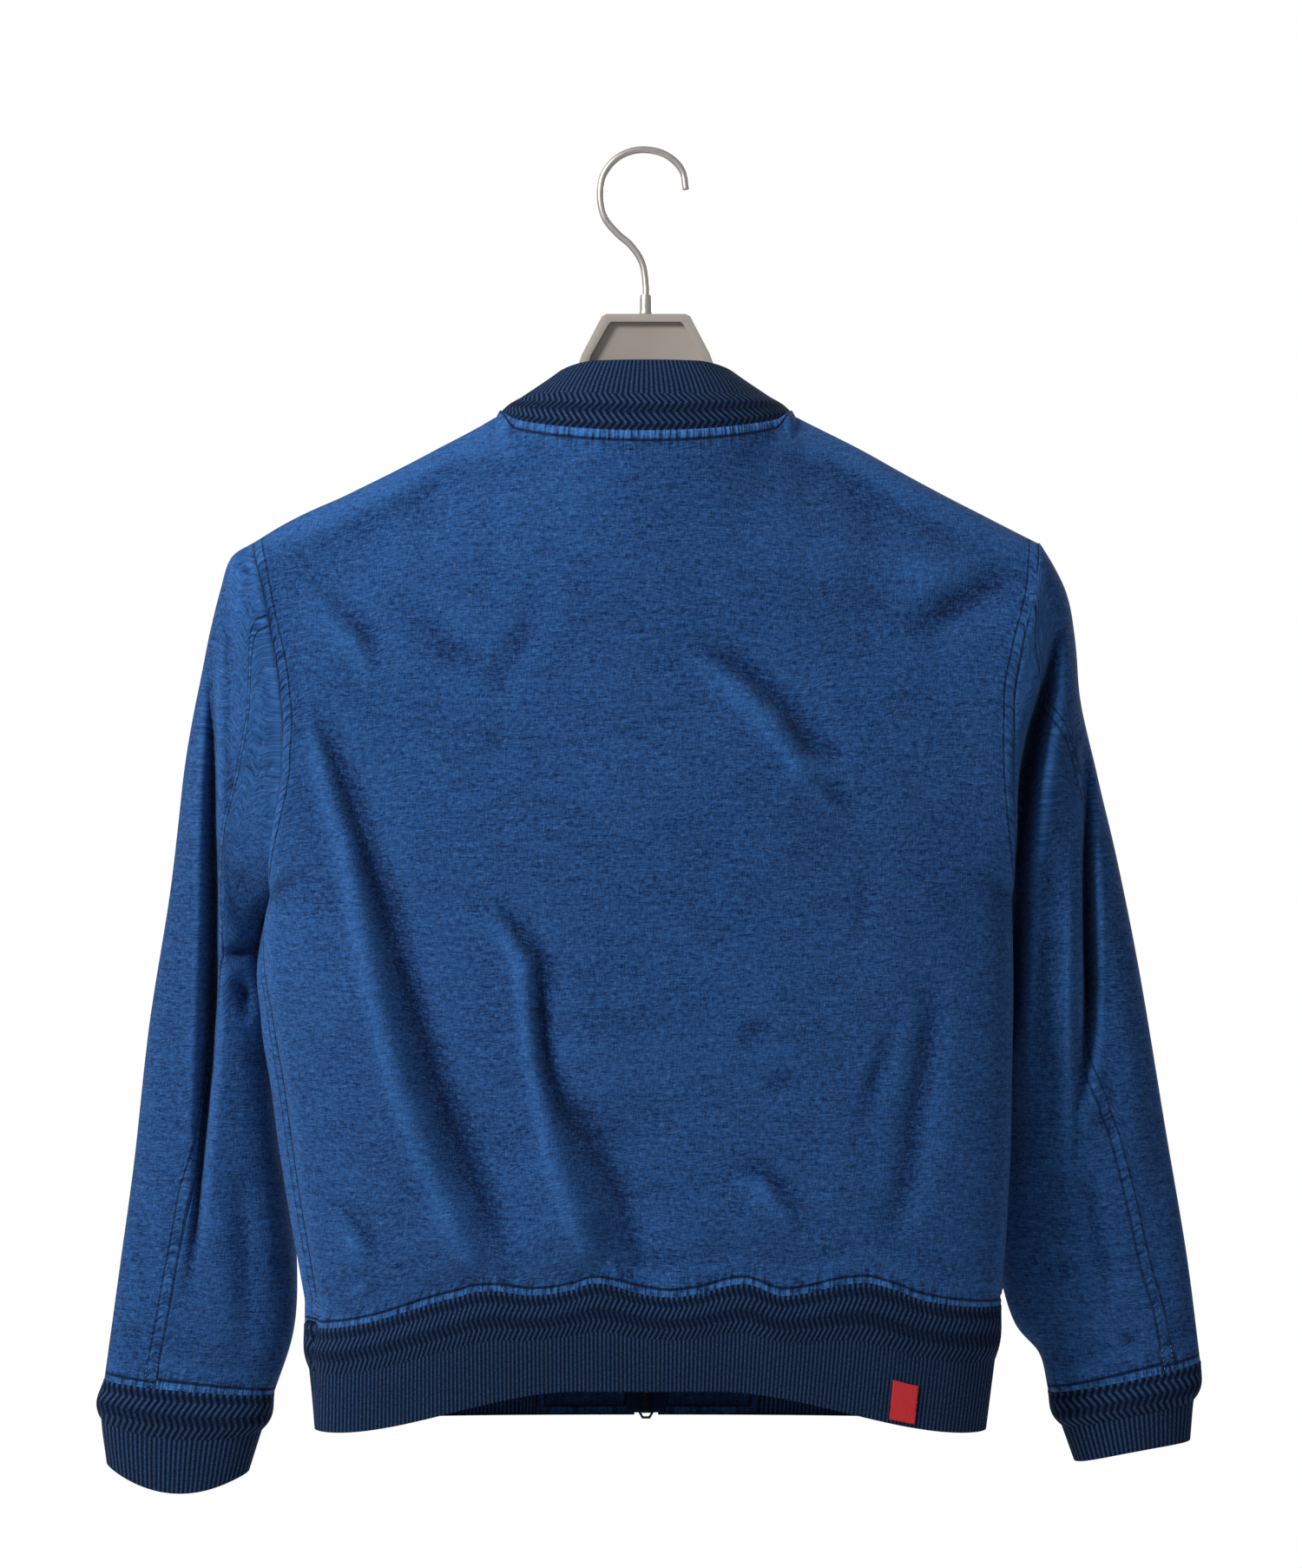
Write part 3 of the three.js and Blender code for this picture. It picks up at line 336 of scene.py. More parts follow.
class Finish:
    """A new material: its nodes are made one from another, and end in its shader's sockets."""

    def __init__(self, name, roughness, **sockets):
        self.material = bpy.data.materials.new(name)
        self.material.use_nodes = True
        self.tree = self.material.node_tree
        self.shader = self.tree.nodes["Principled BSDF"]
        for socket, value in {"Roughness": roughness, **sockets}.items():
            self.shader.inputs[socket.replace("_", " ")].default_value = value

    def add(self, kind, **values):
        """A node with these settings. An input takes a number, a colour or another node's output."""
        node = self.tree.nodes.new("ShaderNode" + kind)
        for key, value in values.items():
            socket = node.inputs.get(key.replace("_", " "))
            if socket is None:
                setattr(node, key, value)
            elif isinstance(value, bpy.types.NodeSocket):
                self.tree.links.new(value, socket)
            else:
                socket.default_value = value
        return node

    def cloth_place(self, **settings):
        """Places in metres of cloth, moved, turned or scaled."""
        uv = self.add("UVMap", uv_map="UVMap").outputs["UV"]
        return self.add("Mapping", Vector=uv, **settings).outputs["Vector"]

    def grain(self, scale, detail, place=(0, 0, 0), roughness=0.5):
        """Soft noise in the cloth's own measure, its scale counted in waves to the metre."""
        spot = self.cloth_place(Scale=scale, Location=place)
        return self.add("TexNoise", Vector=spot, Scale=1, Detail=detail, Roughness=roughness).outputs["Fac"]

    def mark(self, name):
        return self.add("Attribute", attribute_name=name).outputs["Fac"]

    def object_noise(self, **settings):
        """Noise in the object's own coordinates."""
        place = self.add("TexCoord").outputs["Object"]
        return self.add("TexNoise", Vector=place, **settings).outputs["Fac"]

    def maths(self, kind, a, b):
        node = self.add("Math", operation=kind)
        for socket, value in zip(node.inputs, (a, b)):
            if isinstance(value, bpy.types.NodeSocket):
                self.tree.links.new(value, socket)
            else:
                socket.default_value = value
        return node.outputs[0]

    def plus(self, a, b):
        return self.maths("ADD", a, b)

    def minus(self, a, b):
        return self.maths("SUBTRACT", a, b)

    def times(self, a, b):
        return self.maths("MULTIPLY", a, b)

    def ramp(self, value, low, high):
        return self.add("MapRange", Value=value, From_Min=low, From_Max=high).outputs["Result"]

    def blend(self, factor, a, b, **settings):
        """The colour between a and b, each a colour or another node's output."""
        node = self.add("Mix", data_type="RGBA", **settings)
        for socket, value in (("Factor", factor), ("A", a), ("B", b)):
            if isinstance(value, bpy.types.NodeSocket):
                self.tree.links.new(value, node.inputs[socket])
            else:
                node.inputs[socket].default_value = (*value, 1)
        return node.outputs["Result"]

    def paint(self, colour, height=None, strength=1.0, distance=1.0):
        """Ends the colour and the bump's height in the shader, and gives the material back."""
        self.tree.links.new(colour, self.shader.inputs["Base Color"])
        if height:
            bump = self.add("Bump", Height=height, Strength=strength, Distance=distance)
            self.tree.links.new(bump.outputs["Normal"], self.shader.inputs["Normal"])
        return self.material


def canvas_material(name, dark, light, slub):
    """Plain-woven indigo canvas: uneven threads both ways, pale slubs, lighter on what stands out
    and darker in its folds (real fading of the indigo on seams and ridges, painted shade in the folds),
    and dark lines with small puckers beside them along its seams: the navy thread's colour along the
    strips, and painted shade in the felled seams' stitch grooves and in the joint with the knit."""
    cotton = Finish(name, 0.92, Specular_IOR_Level=0.1, Sheen_Weight=0.04, Sheen_Roughness=0.6)
    maths, plus, minus, times = cotton.maths, cotton.plus, cotton.minus, cotton.times
    ramp = cotton.ramp

    def threads(scale, detail, place=(0, 0, 0)):
        return cotton.grain(scale, detail, place, 0.6)

    def near(value, place, width):
        return ramp(maths("ABSOLUTE", minus(value, place), 0), width, width * 0.3)

    weft, warp = threads((230, 900, 1), 2), threads((900, 230, 1), 2, (3, 7, 0))
    weave = plus(ramp(weft, 0.36, 0.64), times(ramp(warp, 0.36, 0.64), 0.7))
    streaks = ramp(threads((40, 430, 1), 2, (4, 9, 0)), 0.34, 0.66)
    mottle = ramp(threads((260, 330, 1), 1, (6, 2, 0)), 0.34, 0.66)
    cloudy = ramp(threads((9, 9, 1), 3, (1, 1, 0)), 0.3, 0.7)
    slubs = maths("MAXIMUM", ramp(threads((260, 760, 1), 1, (11, 2, 0)), 0.60, 0.74),
                  ramp(threads((760, 260, 1), 1, (5, 13, 0)), 0.64, 0.78))
    # Places are counted from a folded strip's seam, and from a felled seam, to its stitched line
    strip, felled = cotton.mark("strip"), cotton.mark("felled")
    on_strip, on_band = ramp(strip, 1.05, 0.95), ramp(felled, 1.25, 1.05)
    gathers = ramp(threads((330, 50, 1), 1, (2, 5, 0)), 0.34, 0.66)
    ladder = ramp(threads((70, 250, 1), 1, (8, 1, 0)), 0.34, 0.66)
    puckers = plus(times(minus(gathers, 0.35), on_strip), times(minus(ladder, 0.45), on_band))
    near_strip = times(minus(gathers, 0.5), ramp(strip, 3.2, 1.0))
    shade = times(weave, 0.60)
    # Painted shade in the folds, with the real fading of the indigo where the cloth stands out
    fading_and_fold_shade = minus(cotton.mark("wear_and_fold_shade"), 0.96)
    for part, weight in ((streaks, 0.34), (mottle, 0.30), (cloudy, 0.14), (fading_and_fold_shade, 0.8),
                         (on_strip, 0.28), (plus(puckers, near_strip), 0.65)):
        shade = plus(shade, times(part, weight))
    within = maths("MAXIMUM", maths("MINIMUM", shade, 1.8), -0.05)
    tone = cotton.blend(within, dark, light, clamp_factor=False)
    pale = cotton.blend(times(slubs, 0.3), tone, slub)
    # Dark lines along the seams: the navy thread's own colour on the strips' stitched line, and painted shade
    # in the stitch grooves and edges of the felled seams and in the joint with the knit.
    on_fold = maths("MAXIMUM", near(strip, 1.0, 0.22), near(strip, 0.0, 0.16))
    on_fell = maths("MAXIMUM", near(felled, 1.0, 0.12), near(felled, 0.1, 0.12))
    sewn = maths("MAXIMUM", on_fold, times(on_fell, 0.75))
    lined_and_groove_shaded = cotton.blend(times(sewn, 0.85), pale, [c * 0.25 for c in dark])
    relief = plus(plus(times(weave, 0.35), times(puckers, 2.0)), near_strip)
    return cotton.paint(lined_and_groove_shaded, minus(relief, times(sewn, 1.2)), 0.9, 0.0006)


canvas = canvas_material("indigo_canvas", (0.003, 0.020, 0.085), (0.024, 0.098, 0.290), (0.12, 0.24, 0.46))


def stations(*parts):
    """Grid lines: each part is (from, to, how many), and the last one's end is added."""
    spread = [np.linspace(a, b, n, endpoint=False) for a, b, n in parts]
    return np.concatenate(spread + [[parts[-1][1]]])


def groove(distance, width):
    return -np.exp(-((distance / width) ** 2))


def panel_relief(points, share, down, length):
    """What sewing adds to a panel's face in mm, and how far each point lies from the strip over the
    knit or the topstitched neck and from the felled side edges, in shares of those bands' widths."""
    from_hem = (1 - down) * length
    from_top = down * length
    along = lengths_along(points, 1)
    from_side = np.minimum(along, along[:, -1:] - along)
    at_neck = share < NECK_SHARE * 1.02
    strip = 1.0 * (1 - step(STRIP - 1.2, STRIP, from_hem)) + 1.0 * groove(from_hem - STRIP, 1.2)
    bag = 1.8 * np.exp(-((from_hem - 13) / 8) ** 2)
    folded_down = 1 - step(5, NECK_STRIP, from_top)
    neck = np.where(at_neck, 1.0 * groove(from_top - NECK_STRIP, 1.3) + 0.6 * folded_down, 0)
    band = 0.9 * (1 - step(7.2, 8.6, from_side))
    from_strip = np.minimum(from_hem / STRIP, np.where(at_neck, from_top / NECK_STRIP, 9))
    return strip + bag + neck + band, from_strip, from_side / FELL


def trunk_panel(name, face, across, down, folds, seed):
    columns, rows = np.meshgrid(across, down)
    share = np.abs(columns)
    points = trunk(face, columns, rows)
    length = -points[-1, :, 2].mean() + points[0, :, 2].mean()
    # The shoulder seam's end at the neck is pressed flat, so no pinch runs down from it
    eases = np.exp(-((share - NECK_SHARE) / 0.15) ** 4)
    eases = eases * step(0.008, 0.045, rows) * (1 - step(0.3, 0.5, rows))
    level = evened(evened(points[..., 1:], 14, axes=(1,)), 9, axes=(1,))
    points[..., 1:] = mix(points[..., 1:], level, eases[..., None])
    crown = crown_of(share)
    calm = step(0.02, 0.1, rows) * (1 - step(0.955, 0.995, rows)) * np.minimum(1, crown * 1.6)
    x, z = points[..., 0], points[..., 2]
    lifted = sum(crease(x, z, line, wide, high, kind) for kind, wide, high, line in folds)
    lifted = lifted + 1.2 * ripples(points, 60, seed) + 0.45 * ripples(points, 24, seed + 5)
    points[..., 1] += face * calm * lifted
    normals = surface_normals(points)
    if np.sum(normals[..., 1]) * face < 0:
        normals = -normals
    relief, from_strip, from_side = panel_relief(points, share, rows, length)
    marks = {"strip": from_strip, "felled": from_side}
    sheet = cloth(name + "_cloth", points, normals, CANVAS, relief, marks, 4)
    dress(sheet, canvas, name)


panel_rows = stations((0, 0.02, 7), (0.02, 0.12, 18), (0.12, 0.93, 118), (0.93, 0.978, 12), (0.978, 1, 14))
half_columns = stations((0, 0.34, 32), (0.34, 0.4, 8), (0.4, 0.93, 46), (0.93, 1, 12))
back_columns = np.concatenate([-half_columns[:0:-1], half_columns])
trunk_panel("back_panel", 1, back_columns, panel_rows, BACK_FOLDS, 3.7)

# The fronts: two pieces of the same canvas, open down the middle where the zip is sewn in.
ZIP_EDGE = 8
FRONT_FOLDS = [
    ("roll", (4.5, 6.5), (0, 6, 7, 6, 0),
     [(-205, -360), (-180, -440), (-158, -540), (-120, -650), (-95, -715)]),
    ("roll", (4, 6), (0, 5, 6, 5, 0),
     [(208, -330), (190, -400), (176, -470), (160, -560), (128, -660), (105, -715)]),
    ("trough", (10, 14), (0, 5, 4, 0), [(-70, -530), (-60, -610), (-45, -700)]),
    ("trough", (8, 9), (0, 3, 0), [(70, -480), (62, -560), (48, -640)]),
    ("trough", (11, 9), (0, 3, 0), [(228, -270), (180, -300), (150, -330)]),
    ("trough", (11, 9), (0, 3, 0), [(-236, -272), (-190, -305), (-160, -345)]),
    ("roll", (3.5, 4.5), (0, 3, 0), [(120, -600), (96, -650), (90, -700)]),
    ("trough", (6, 7), (0, 2.5, 0), [(-110, -610), (-96, -660), (-98, -710)]),
]
front_half = stations((ZIP_EDGE / HALF, 0.34, 26), (0.34, 0.4, 6), (0.4, 0.93, 40), (0.93, 1, 10))
trunk_panel("front_left", -1, front_half, panel_rows, FRONT_FOLDS, 9.1)
trunk_panel("front_right", -1, -front_half[::-1], panel_rows, FRONT_FOLDS, 5.3)

# The sleeves: an upper and an under piece of canvas each, felled together down the back, with a
# folded strip over the cuff. They hang a little forward, and a deep fold runs down beside the arm.
SLEEVES = {
    "left": {
        "side": 1,
        "outer": [(243.5, 0, -248.5), (258, -1, -257), (267, -3, -276), (275, -6, -304), (281, -11, -340),
                  (287, -18, -382), (298, -30, -464), (314, -42, -555), (325, -48, -645), (334, -48, -710),
                  (344.5, -48, -785.5)],
        "inner": [(232, 0, -469), (246, -16, -489), (252, -32, -514), (248, -43, -548), (240, -49, -590),
                  (230, -53, -650), (224, -53, -715), (226, -50, -755), (238.5, -48, -794.5)],
        "seam": [(0, 0.33), (0.022, 0.347), (0.057, 0.47), (0.138, 0.565), (0.227, 0.58), (0.4, 0.52),
                 (0.572, 0.45), (0.7, 0.427), (0.82, 0.4), (0.9, 0.39), (1, 0.386)],
        "valleys": [
            ((-288, 265, 0, 4), (-330, 268, 6, 4), (-370, 268, 14, 4.5), (-420, 269, 20, 5),
             (-500, 271, 25, 5.5), (-560, 274, 25, 5.5), (-600, 277, 21, 5), (-650, 281, 11, 4),
             (-690, 284, 5, 4), (-731, 290, 0, 5)),
        ],
        "folds": [
            ("trough", (5, 6), (0, 4, 4, 0), [(258.5, -278), (257, -321), (257, -398), (261, -430)]),
            ("trough", (5, 5), (0, 3, 0), [(260, -450), (248, -458), (238, -466)]),
            ("ridge", (6, 6), (0, 3, 0), [(262, -490), (248, -492), (238, -490)]),
            ("trough", (4, 5), (1, 6, 2), [(264, -508), (252, -506), (239, -501)]),
            ("trough", (5, 5), (0, 9, 0), [(254, -518), (251, -533), (249, -552)]),
            ("trough", (8, 9), (1, 3, 0), [(248, -552), (240, -576), (232, -600)]),
            ("ridge", (12, 14), (0, 3, 3, 0), [(272, -650), (268, -700), (262, -770)]),
            ("trough", (7, 9), (0, 3, 3, 0), [(255, -640), (252, -700), (251, -770)]),
            ("trough", (6, 8), (0, 2.5, 2.5, 0), [(320, -655), (318, -700), (312, -765)]),
            ("trough", (9, 12), (0, 3, 3, 0), [(292, -470), (300, -560), (305, -640)]),
            ("trough", (5, 6), (0, 2, 0), [(318, -748), (326, -757)]),
            ("roll", (3.5, 4), (0, 2.5, 0), [(240, -640), (232, -690), (236, -740)]),
        ],
    },
    "right": {
        "side": -1,
        "outer": [(-252.5, 0, -248.5), (-262, -1, -262), (-272, -4, -280), (-279, -9, -307),
                  (-282, -15, -350), (-291, -22, -394), (-304, -30, -445), (-320, -42, -516),
                  (-339, -48, -624), (-353, -48, -707), (-361.5, -48, -773.5)],
        "inner": [(-235, 0, -469), (-243, -16, -492), (-246, -32, -520), (-242, -44, -560), (-236, -50, -620),
                  (-234, -53, -700), (-245, -51, -748), (-261, -49, -768), (-267, -48, -793)],
        "seam": [(0, 0.28), (0.03, 0.36), (0.09, 0.385), (0.16, 0.345), (0.236, 0.3), (0.33, 0.32),
                 (0.42, 0.385), (0.48, 0.44), (0.554, 0.449), (0.62, 0.42), (0.7, 0.383),
                 (0.84, 0.361), (1, 0.347)],
        "valleys": [
            ((-300, -261, 0, 4), (-325, -258, 16, 5), (-350, -253, 34, 6.5), (-378, -247, 44, 7.5),
             (-420, -242, 46, 7), (-470, -240, 42, 7), (-520, -240, 34, 6), (-570, -239, 20, 6),
             (-620, -240, 10, 7), (-700, -240, 0, 8)),
            ((-370, -280, 0, 4), (-410, -283, 12, 4), (-450, -284, 24, 4.5), (-500, -286, 30, 5),
             (-540, -287, 24, 5), (-575, -285, 10, 5), (-610, -282, 0, 5)),
        ],
        "folds": [
            ("roll", (2.5, 2.5), (0, 3, 3, 2, 0),
             [(-273, -420), (-275, -520), (-275.5, -560), (-276, -610), (-275, -660)]),
            ("trough", (9, 10), (0, 4, 3, 0), [(-256, -420), (-258, -500), (-255, -560), (-258, -600)]),
            ("trough", (8, 9), (0, 4, 0), [(-251, -600), (-248, -628), (-249, -655)]),
            ("trough", (9, 13), (0, 4, 4, 0), [(-291, -470), (-296, -560), (-303, -650)]),
            ("trough", (8, 9), (0, 3, 0), [(-263, -700), (-272, -708), (-284, -714)]),
            ("trough", (4, 4), (0, 3, 0), [(-306, -751), (-314, -755), (-323, -758)]),
            ("trough", (5, 6), (0, 2.5, 0), [(-283, -606), (-296, -614), (-306, -612)]),
            ("trough", (6, 7), (0, 2.5, 2.5, 0), [(-284, -640), (-292, -680), (-305, -740)]),
            ("ridge", (10, 12), (0, 2.5, 2.5, 0), [(-268, -650), (-270, -720), (-276, -770)]),
            ("trough", (8, 8), (0, 2.5, 0), [(-322, -560), (-332, -640), (-340, -700)]),
        ],
    },
}
sleeve_back = line_through([(0, 42), (0.15, 42), (0.4, 40), (0.7, 34), (0.9, 26), (1, 22)])
sleeve_front = line_through([(0, 42), (0.2, 40), (0.5, 36), (0.8, 28), (1, 20)])
FRONT_SLEEVE_FOLDS = [
    ("trough", (6, 8), (0, 8, 10, 6, 0), [(266, -320), (268, -400), (270, -480), (276, -570)]),
    ("trough", (5, 5), (1, 5, 1), [(284, -520), (266, -530), (250, -526)]),
    ("roll", (3.5, 4), (0, 4, 0), [(300, -560), (282, -574), (262, -570)]),
    ("trough", (7, 9), (0, 3, 3, 0), [(300, -640), (296, -700), (300, -770)]),
    ("trough", (6, 6), (0, 2.5, 0), [(320, -740), (306, -752), (290, -748)]),
    ("ridge", (10, 12), (0, 3, 0), [(262, -640), (256, -690), (262, -750)]),
]
SLEEVE_FELL, CUFF_STRIP = 7.8, 6.0


def at_length(length, far, line):
    """Points of a line at lengths along it, far being how far its own points lie."""
    return np.stack([np.interp(length, far, line[:, k]) for k in range(3)], axis=-1)


def path_through(points, samples=40):
    """A smooth line through points in space, its place running from 0 to 1 along its length."""
    p = np.array(points, float)
    p = np.vstack([2 * p[0] - p[1], p, 2 * p[-1] - p[-2]])
    line = []
    for i in range(1, len(p) - 2):
        d0, d1, d2 = (max(np.linalg.norm(p[i + k + 1] - p[i + k]), 1e-9) ** 0.5 for k in (-1, 0, 1))
        t1 = ((p[i] - p[i - 1]) / d0 - (p[i + 1] - p[i - 1]) / (d0 + d1) + (p[i + 1] - p[i]) / d1) * d1
        t2 = ((p[i + 1] - p[i]) / d1 - (p[i + 2] - p[i]) / (d1 + d2) + (p[i + 2] - p[i + 1]) / d2) * d1
        s = np.linspace(0, 1, samples, endpoint=False)[:, None]
        bend = (3 * (p[i + 1] - p[i]) - 2 * t1 - t2) * s ** 2
        line.append(p[i] + t1 * s + bend + (2 * (p[i] - p[i + 1]) + t1 + t2) * s ** 3)
    line = np.vstack(line + [p[-2:-1]])
    far = lengths_along(line)
    return lambda t: at_length(t * far[-1], far, line)


def sleeve_surface(sleeve, turn, down):
    """Points of a sleeve: turn runs from 0 at the outer edge over the back to 1 at the inner edge,
    and to -1 over the front; down from 0 at the armhole to 1 at the cuff."""
    side = sleeve["side"]
    angle = np.abs(turn) * np.pi
    share = (1 - np.cos(angle)) / 2
    outer, inner = path_through(sleeve["outer"])(down), path_through(sleeve["inner"])(down)
    points = outer + (inner - outer) * share[..., None]
    armhole = left_edge if side > 0 else right_edge
    bow = armhole(points[..., 2]) - mix(armhole(SHOULDER_TIP), armhole(UNDERARM), share)
    points[..., 0] += (bow + side * 0.4) * np.maximum(0, 1 - down / 0.3) ** 2
    round_ = np.maximum(np.sin(angle), 0)
    depth = np.where(turn > 0, sleeve_back(down), -sleeve_front(down))
    points[..., 1] += depth * round_ ** mix(1, 0.75, step(0, 0.4, down))
    # Its inner edge is drawn in against the body
    points[..., 0] -= side * 15 * share ** 3 * np.exp(-(((points[..., 2] + 535) / 55) ** 2))
    x, z = points[..., 0].copy(), points[..., 2]
    free = step(0, 0.02, down) * np.sqrt(round_)
    behind = turn > 0
    for valley in sleeve["valleys"]:
        level, place, deep, wide = np.array(valley[::-1], float).T
        where = line_through(list(zip(level, place)))(z)
        sunk = line_through(list(zip(level, deep)))(z)
        width = line_through(list(zip(level, wide)))(z)
        points[..., 1] -= behind * free * sunk * np.exp(-np.abs((x - where) / width) ** 2.8)
    soft = step(0.01, 0.06, down) * (1 - step(0.96, 1, down)) * round_
    back = sum(crease(x, z, line, wide, high, kind) for kind, wide, high, line in sleeve["folds"])
    fore = sum(crease(side * x, z, line, wide, high, kind) for kind, wide, high, line in FRONT_SLEEVE_FOLDS)
    uneven = 1.2 * ripples(points, 48, 2.1 + side) + 0.8 * ripples(points, 20, 7.7 + side)
    points[..., 1] += soft * np.where(behind, back, -fore) + soft * uneven
    return points


def sleeve_piece(name, sleeve, turns, down, seam_column):
    """turns gives each row's places, a (rows, columns) grid; seam_column is the back seam's end."""
    rows = np.broadcast_to(down[:, None], turns.shape)
    points = sleeve_surface(sleeve, turns, rows)
    middle = (path_through(sleeve["outer"])(down) + path_through(sleeve["inner"])(down)) / 2
    normals = surface_normals(points)
    if np.sum(normals * (points - middle[:, None])) < 0:
        normals = -normals
    along = lengths_along(points, 1)
    from_seam = np.abs(along - along[:, [seam_column]])
    length = np.linalg.norm(np.diff(points[:, points.shape[1] // 2], axis=0), axis=-1)
    from_cuff = np.cumsum(length[::-1])[::-1]
    from_cuff = np.append(from_cuff, 0)[:, None] * np.ones_like(from_seam)
    upper = seam_column != 0
    band = 0.9 * (1 - step(SLEEVE_FELL, 8.8, from_seam)) if upper else 0.5 * groove(from_seam, 1.6)
    strip = 0.9 * (1 - step(4.8, CUFF_STRIP, from_cuff)) + 1.1 * groove(from_cuff - CUFF_STRIP, 0.9)
    bag = 1.4 * np.exp(-((from_cuff - 13) / 7) ** 2)
    relief = band + strip + bag
    relief = np.concatenate([relief[:1], relief])
    tucked = points[:1] - normals[:1] * 2.4
    tucked[..., 0] -= sleeve["side"] * 3
    points = np.concatenate([tucked, points])
    normals = np.concatenate([normals[:1], normals])
    from_fell = from_seam / SLEEVE_FELL if upper else np.full_like(from_seam, 9)
    marks = {"strip": from_cuff / CUFF_STRIP, "felled": from_fell}
    marks = {mark: np.concatenate([value[:1], value]) for mark, value in marks.items()}
    sheet = cloth(name + "_cloth", points, normals, CANVAS, relief, marks, 4)
    dress(sheet, canvas, name)
    return sheet


sleeve_rows = stations((0, 0.03, 7), (0.03, 0.965, 132), (0.965, 0.995, 12), (0.995, 1, 2))
for which, sleeve in SLEEVES.items():
    at_seam = line_through(sleeve["seam"])(sleeve_rows)[:, None]
    front = np.linspace(-1, 0, 36, endpoint=False)[None] * np.ones_like(at_seam)
    near_seam = 1 - (1 - np.linspace(0, 1, 60)) ** 1.15
    upper = np.hstack([front, at_seam * near_seam])
    under = at_seam + (1 - at_seam) * np.linspace(0, 1, 64) ** 1.1
    piece = sleeve_piece(f"sleeve_top_{which}", sleeve, upper, sleeve_rows, upper.shape[1] - 1)
    piece = sleeve_piece(f"sleeve_under_{which}", sleeve, under, sleeve_rows, 0)

# The knit: collar, cuffs and hem are navy rib with four rows of herringbone next to the seam. The
# herringbone stands out over the rib, and a shadow lies between them.
KNIT = 2.2
LEGS = (0.17, 0.32, 0.25, 0.26)


def knit_material(name, dark, ridge):
    """Ribbed knit of matt cotton yarn: painted shade in the grooves and a painted highlight on the ridges,
    flecked by fuzz, with fine loops.
    """
    yarn = Finish(name, 0.95, Specular_IOR_Level=0.05, Sheen_Weight=0.02, Sheen_Roughness=0.6)
    plus, times = yarn.plus, yarn.times
    loops, fuzz = yarn.grain((900, 1400, 1), 1), yarn.grain((700, 700, 1), 3)
    cloudy = yarn.grain((30, 30, 1), 2)
    # Painted highlight on the rib's ridges, flecked by fuzz, and painted shade in its grooves
    high = yarn.maths("POWER", yarn.maths("MAXIMUM", yarn.mark("rib"), 0.0), 1.7)
    lit_ridges = times(high, plus(times(fuzz, 1.2), times(cloudy, 0.25)))
    shade = plus(lit_ridges, times(yarn.minus(fuzz, 0.5), 0.25))
    return yarn.paint(yarn.blend(shade, dark, ridge), plus(loops, times(fuzz, 0.6)), 0.8, 0.0004)


# The first colour is the grooves' painted shade, the second the ridges' painted highlight.
knit = knit_material("navy_rib_knit", (0.0012, 0.0045, 0.020), (0.040, 0.092, 0.210))


def knit_rows(share, height, slope):
    """Rows of a knit band from its seam to its free edge: (down, sideways shift in mm, the kind of
    its stitches, how far it stands out in mm). Every second leg of the zigzag is bolder: it stands out
    more, and its ridges get more painted highlight."""
    rows = [(0, 0, "zigzag", -0.9), (0.012, 0, "zigzag", 0.2)]
    shift, down = 0.0, 0.03
    length = share - 0.04
    for leg, part in enumerate(LEGS):
        lean = part * length * height * slope * (1 if leg % 2 == 0 else -1)
        kind = "bold" if leg % 2 else "quiet"
        for k in range(3):
            gone = (k + 0.15) / 3.15
            rows.append((down + length * part * gone, shift + lean * gone, kind, -0.35 if k == 0 else 0))
        down += length * part
        shift += lean
    rows += [(down, shift, "zigzag", 0), (down + 0.008, shift, "zigzag", -0.5)]
    rows += [(share + 0.012, shift, "rib", -0.9), (share + 0.035, shift, "rib", -0.2)]
    rows += [(down, shift, "rib", 0) for down in np.linspace(share + 0.08, 0.965, 6)]
    return rows + [(0.99, shift, "rib", -0.3), (1, shift, "rib", -1.0)]


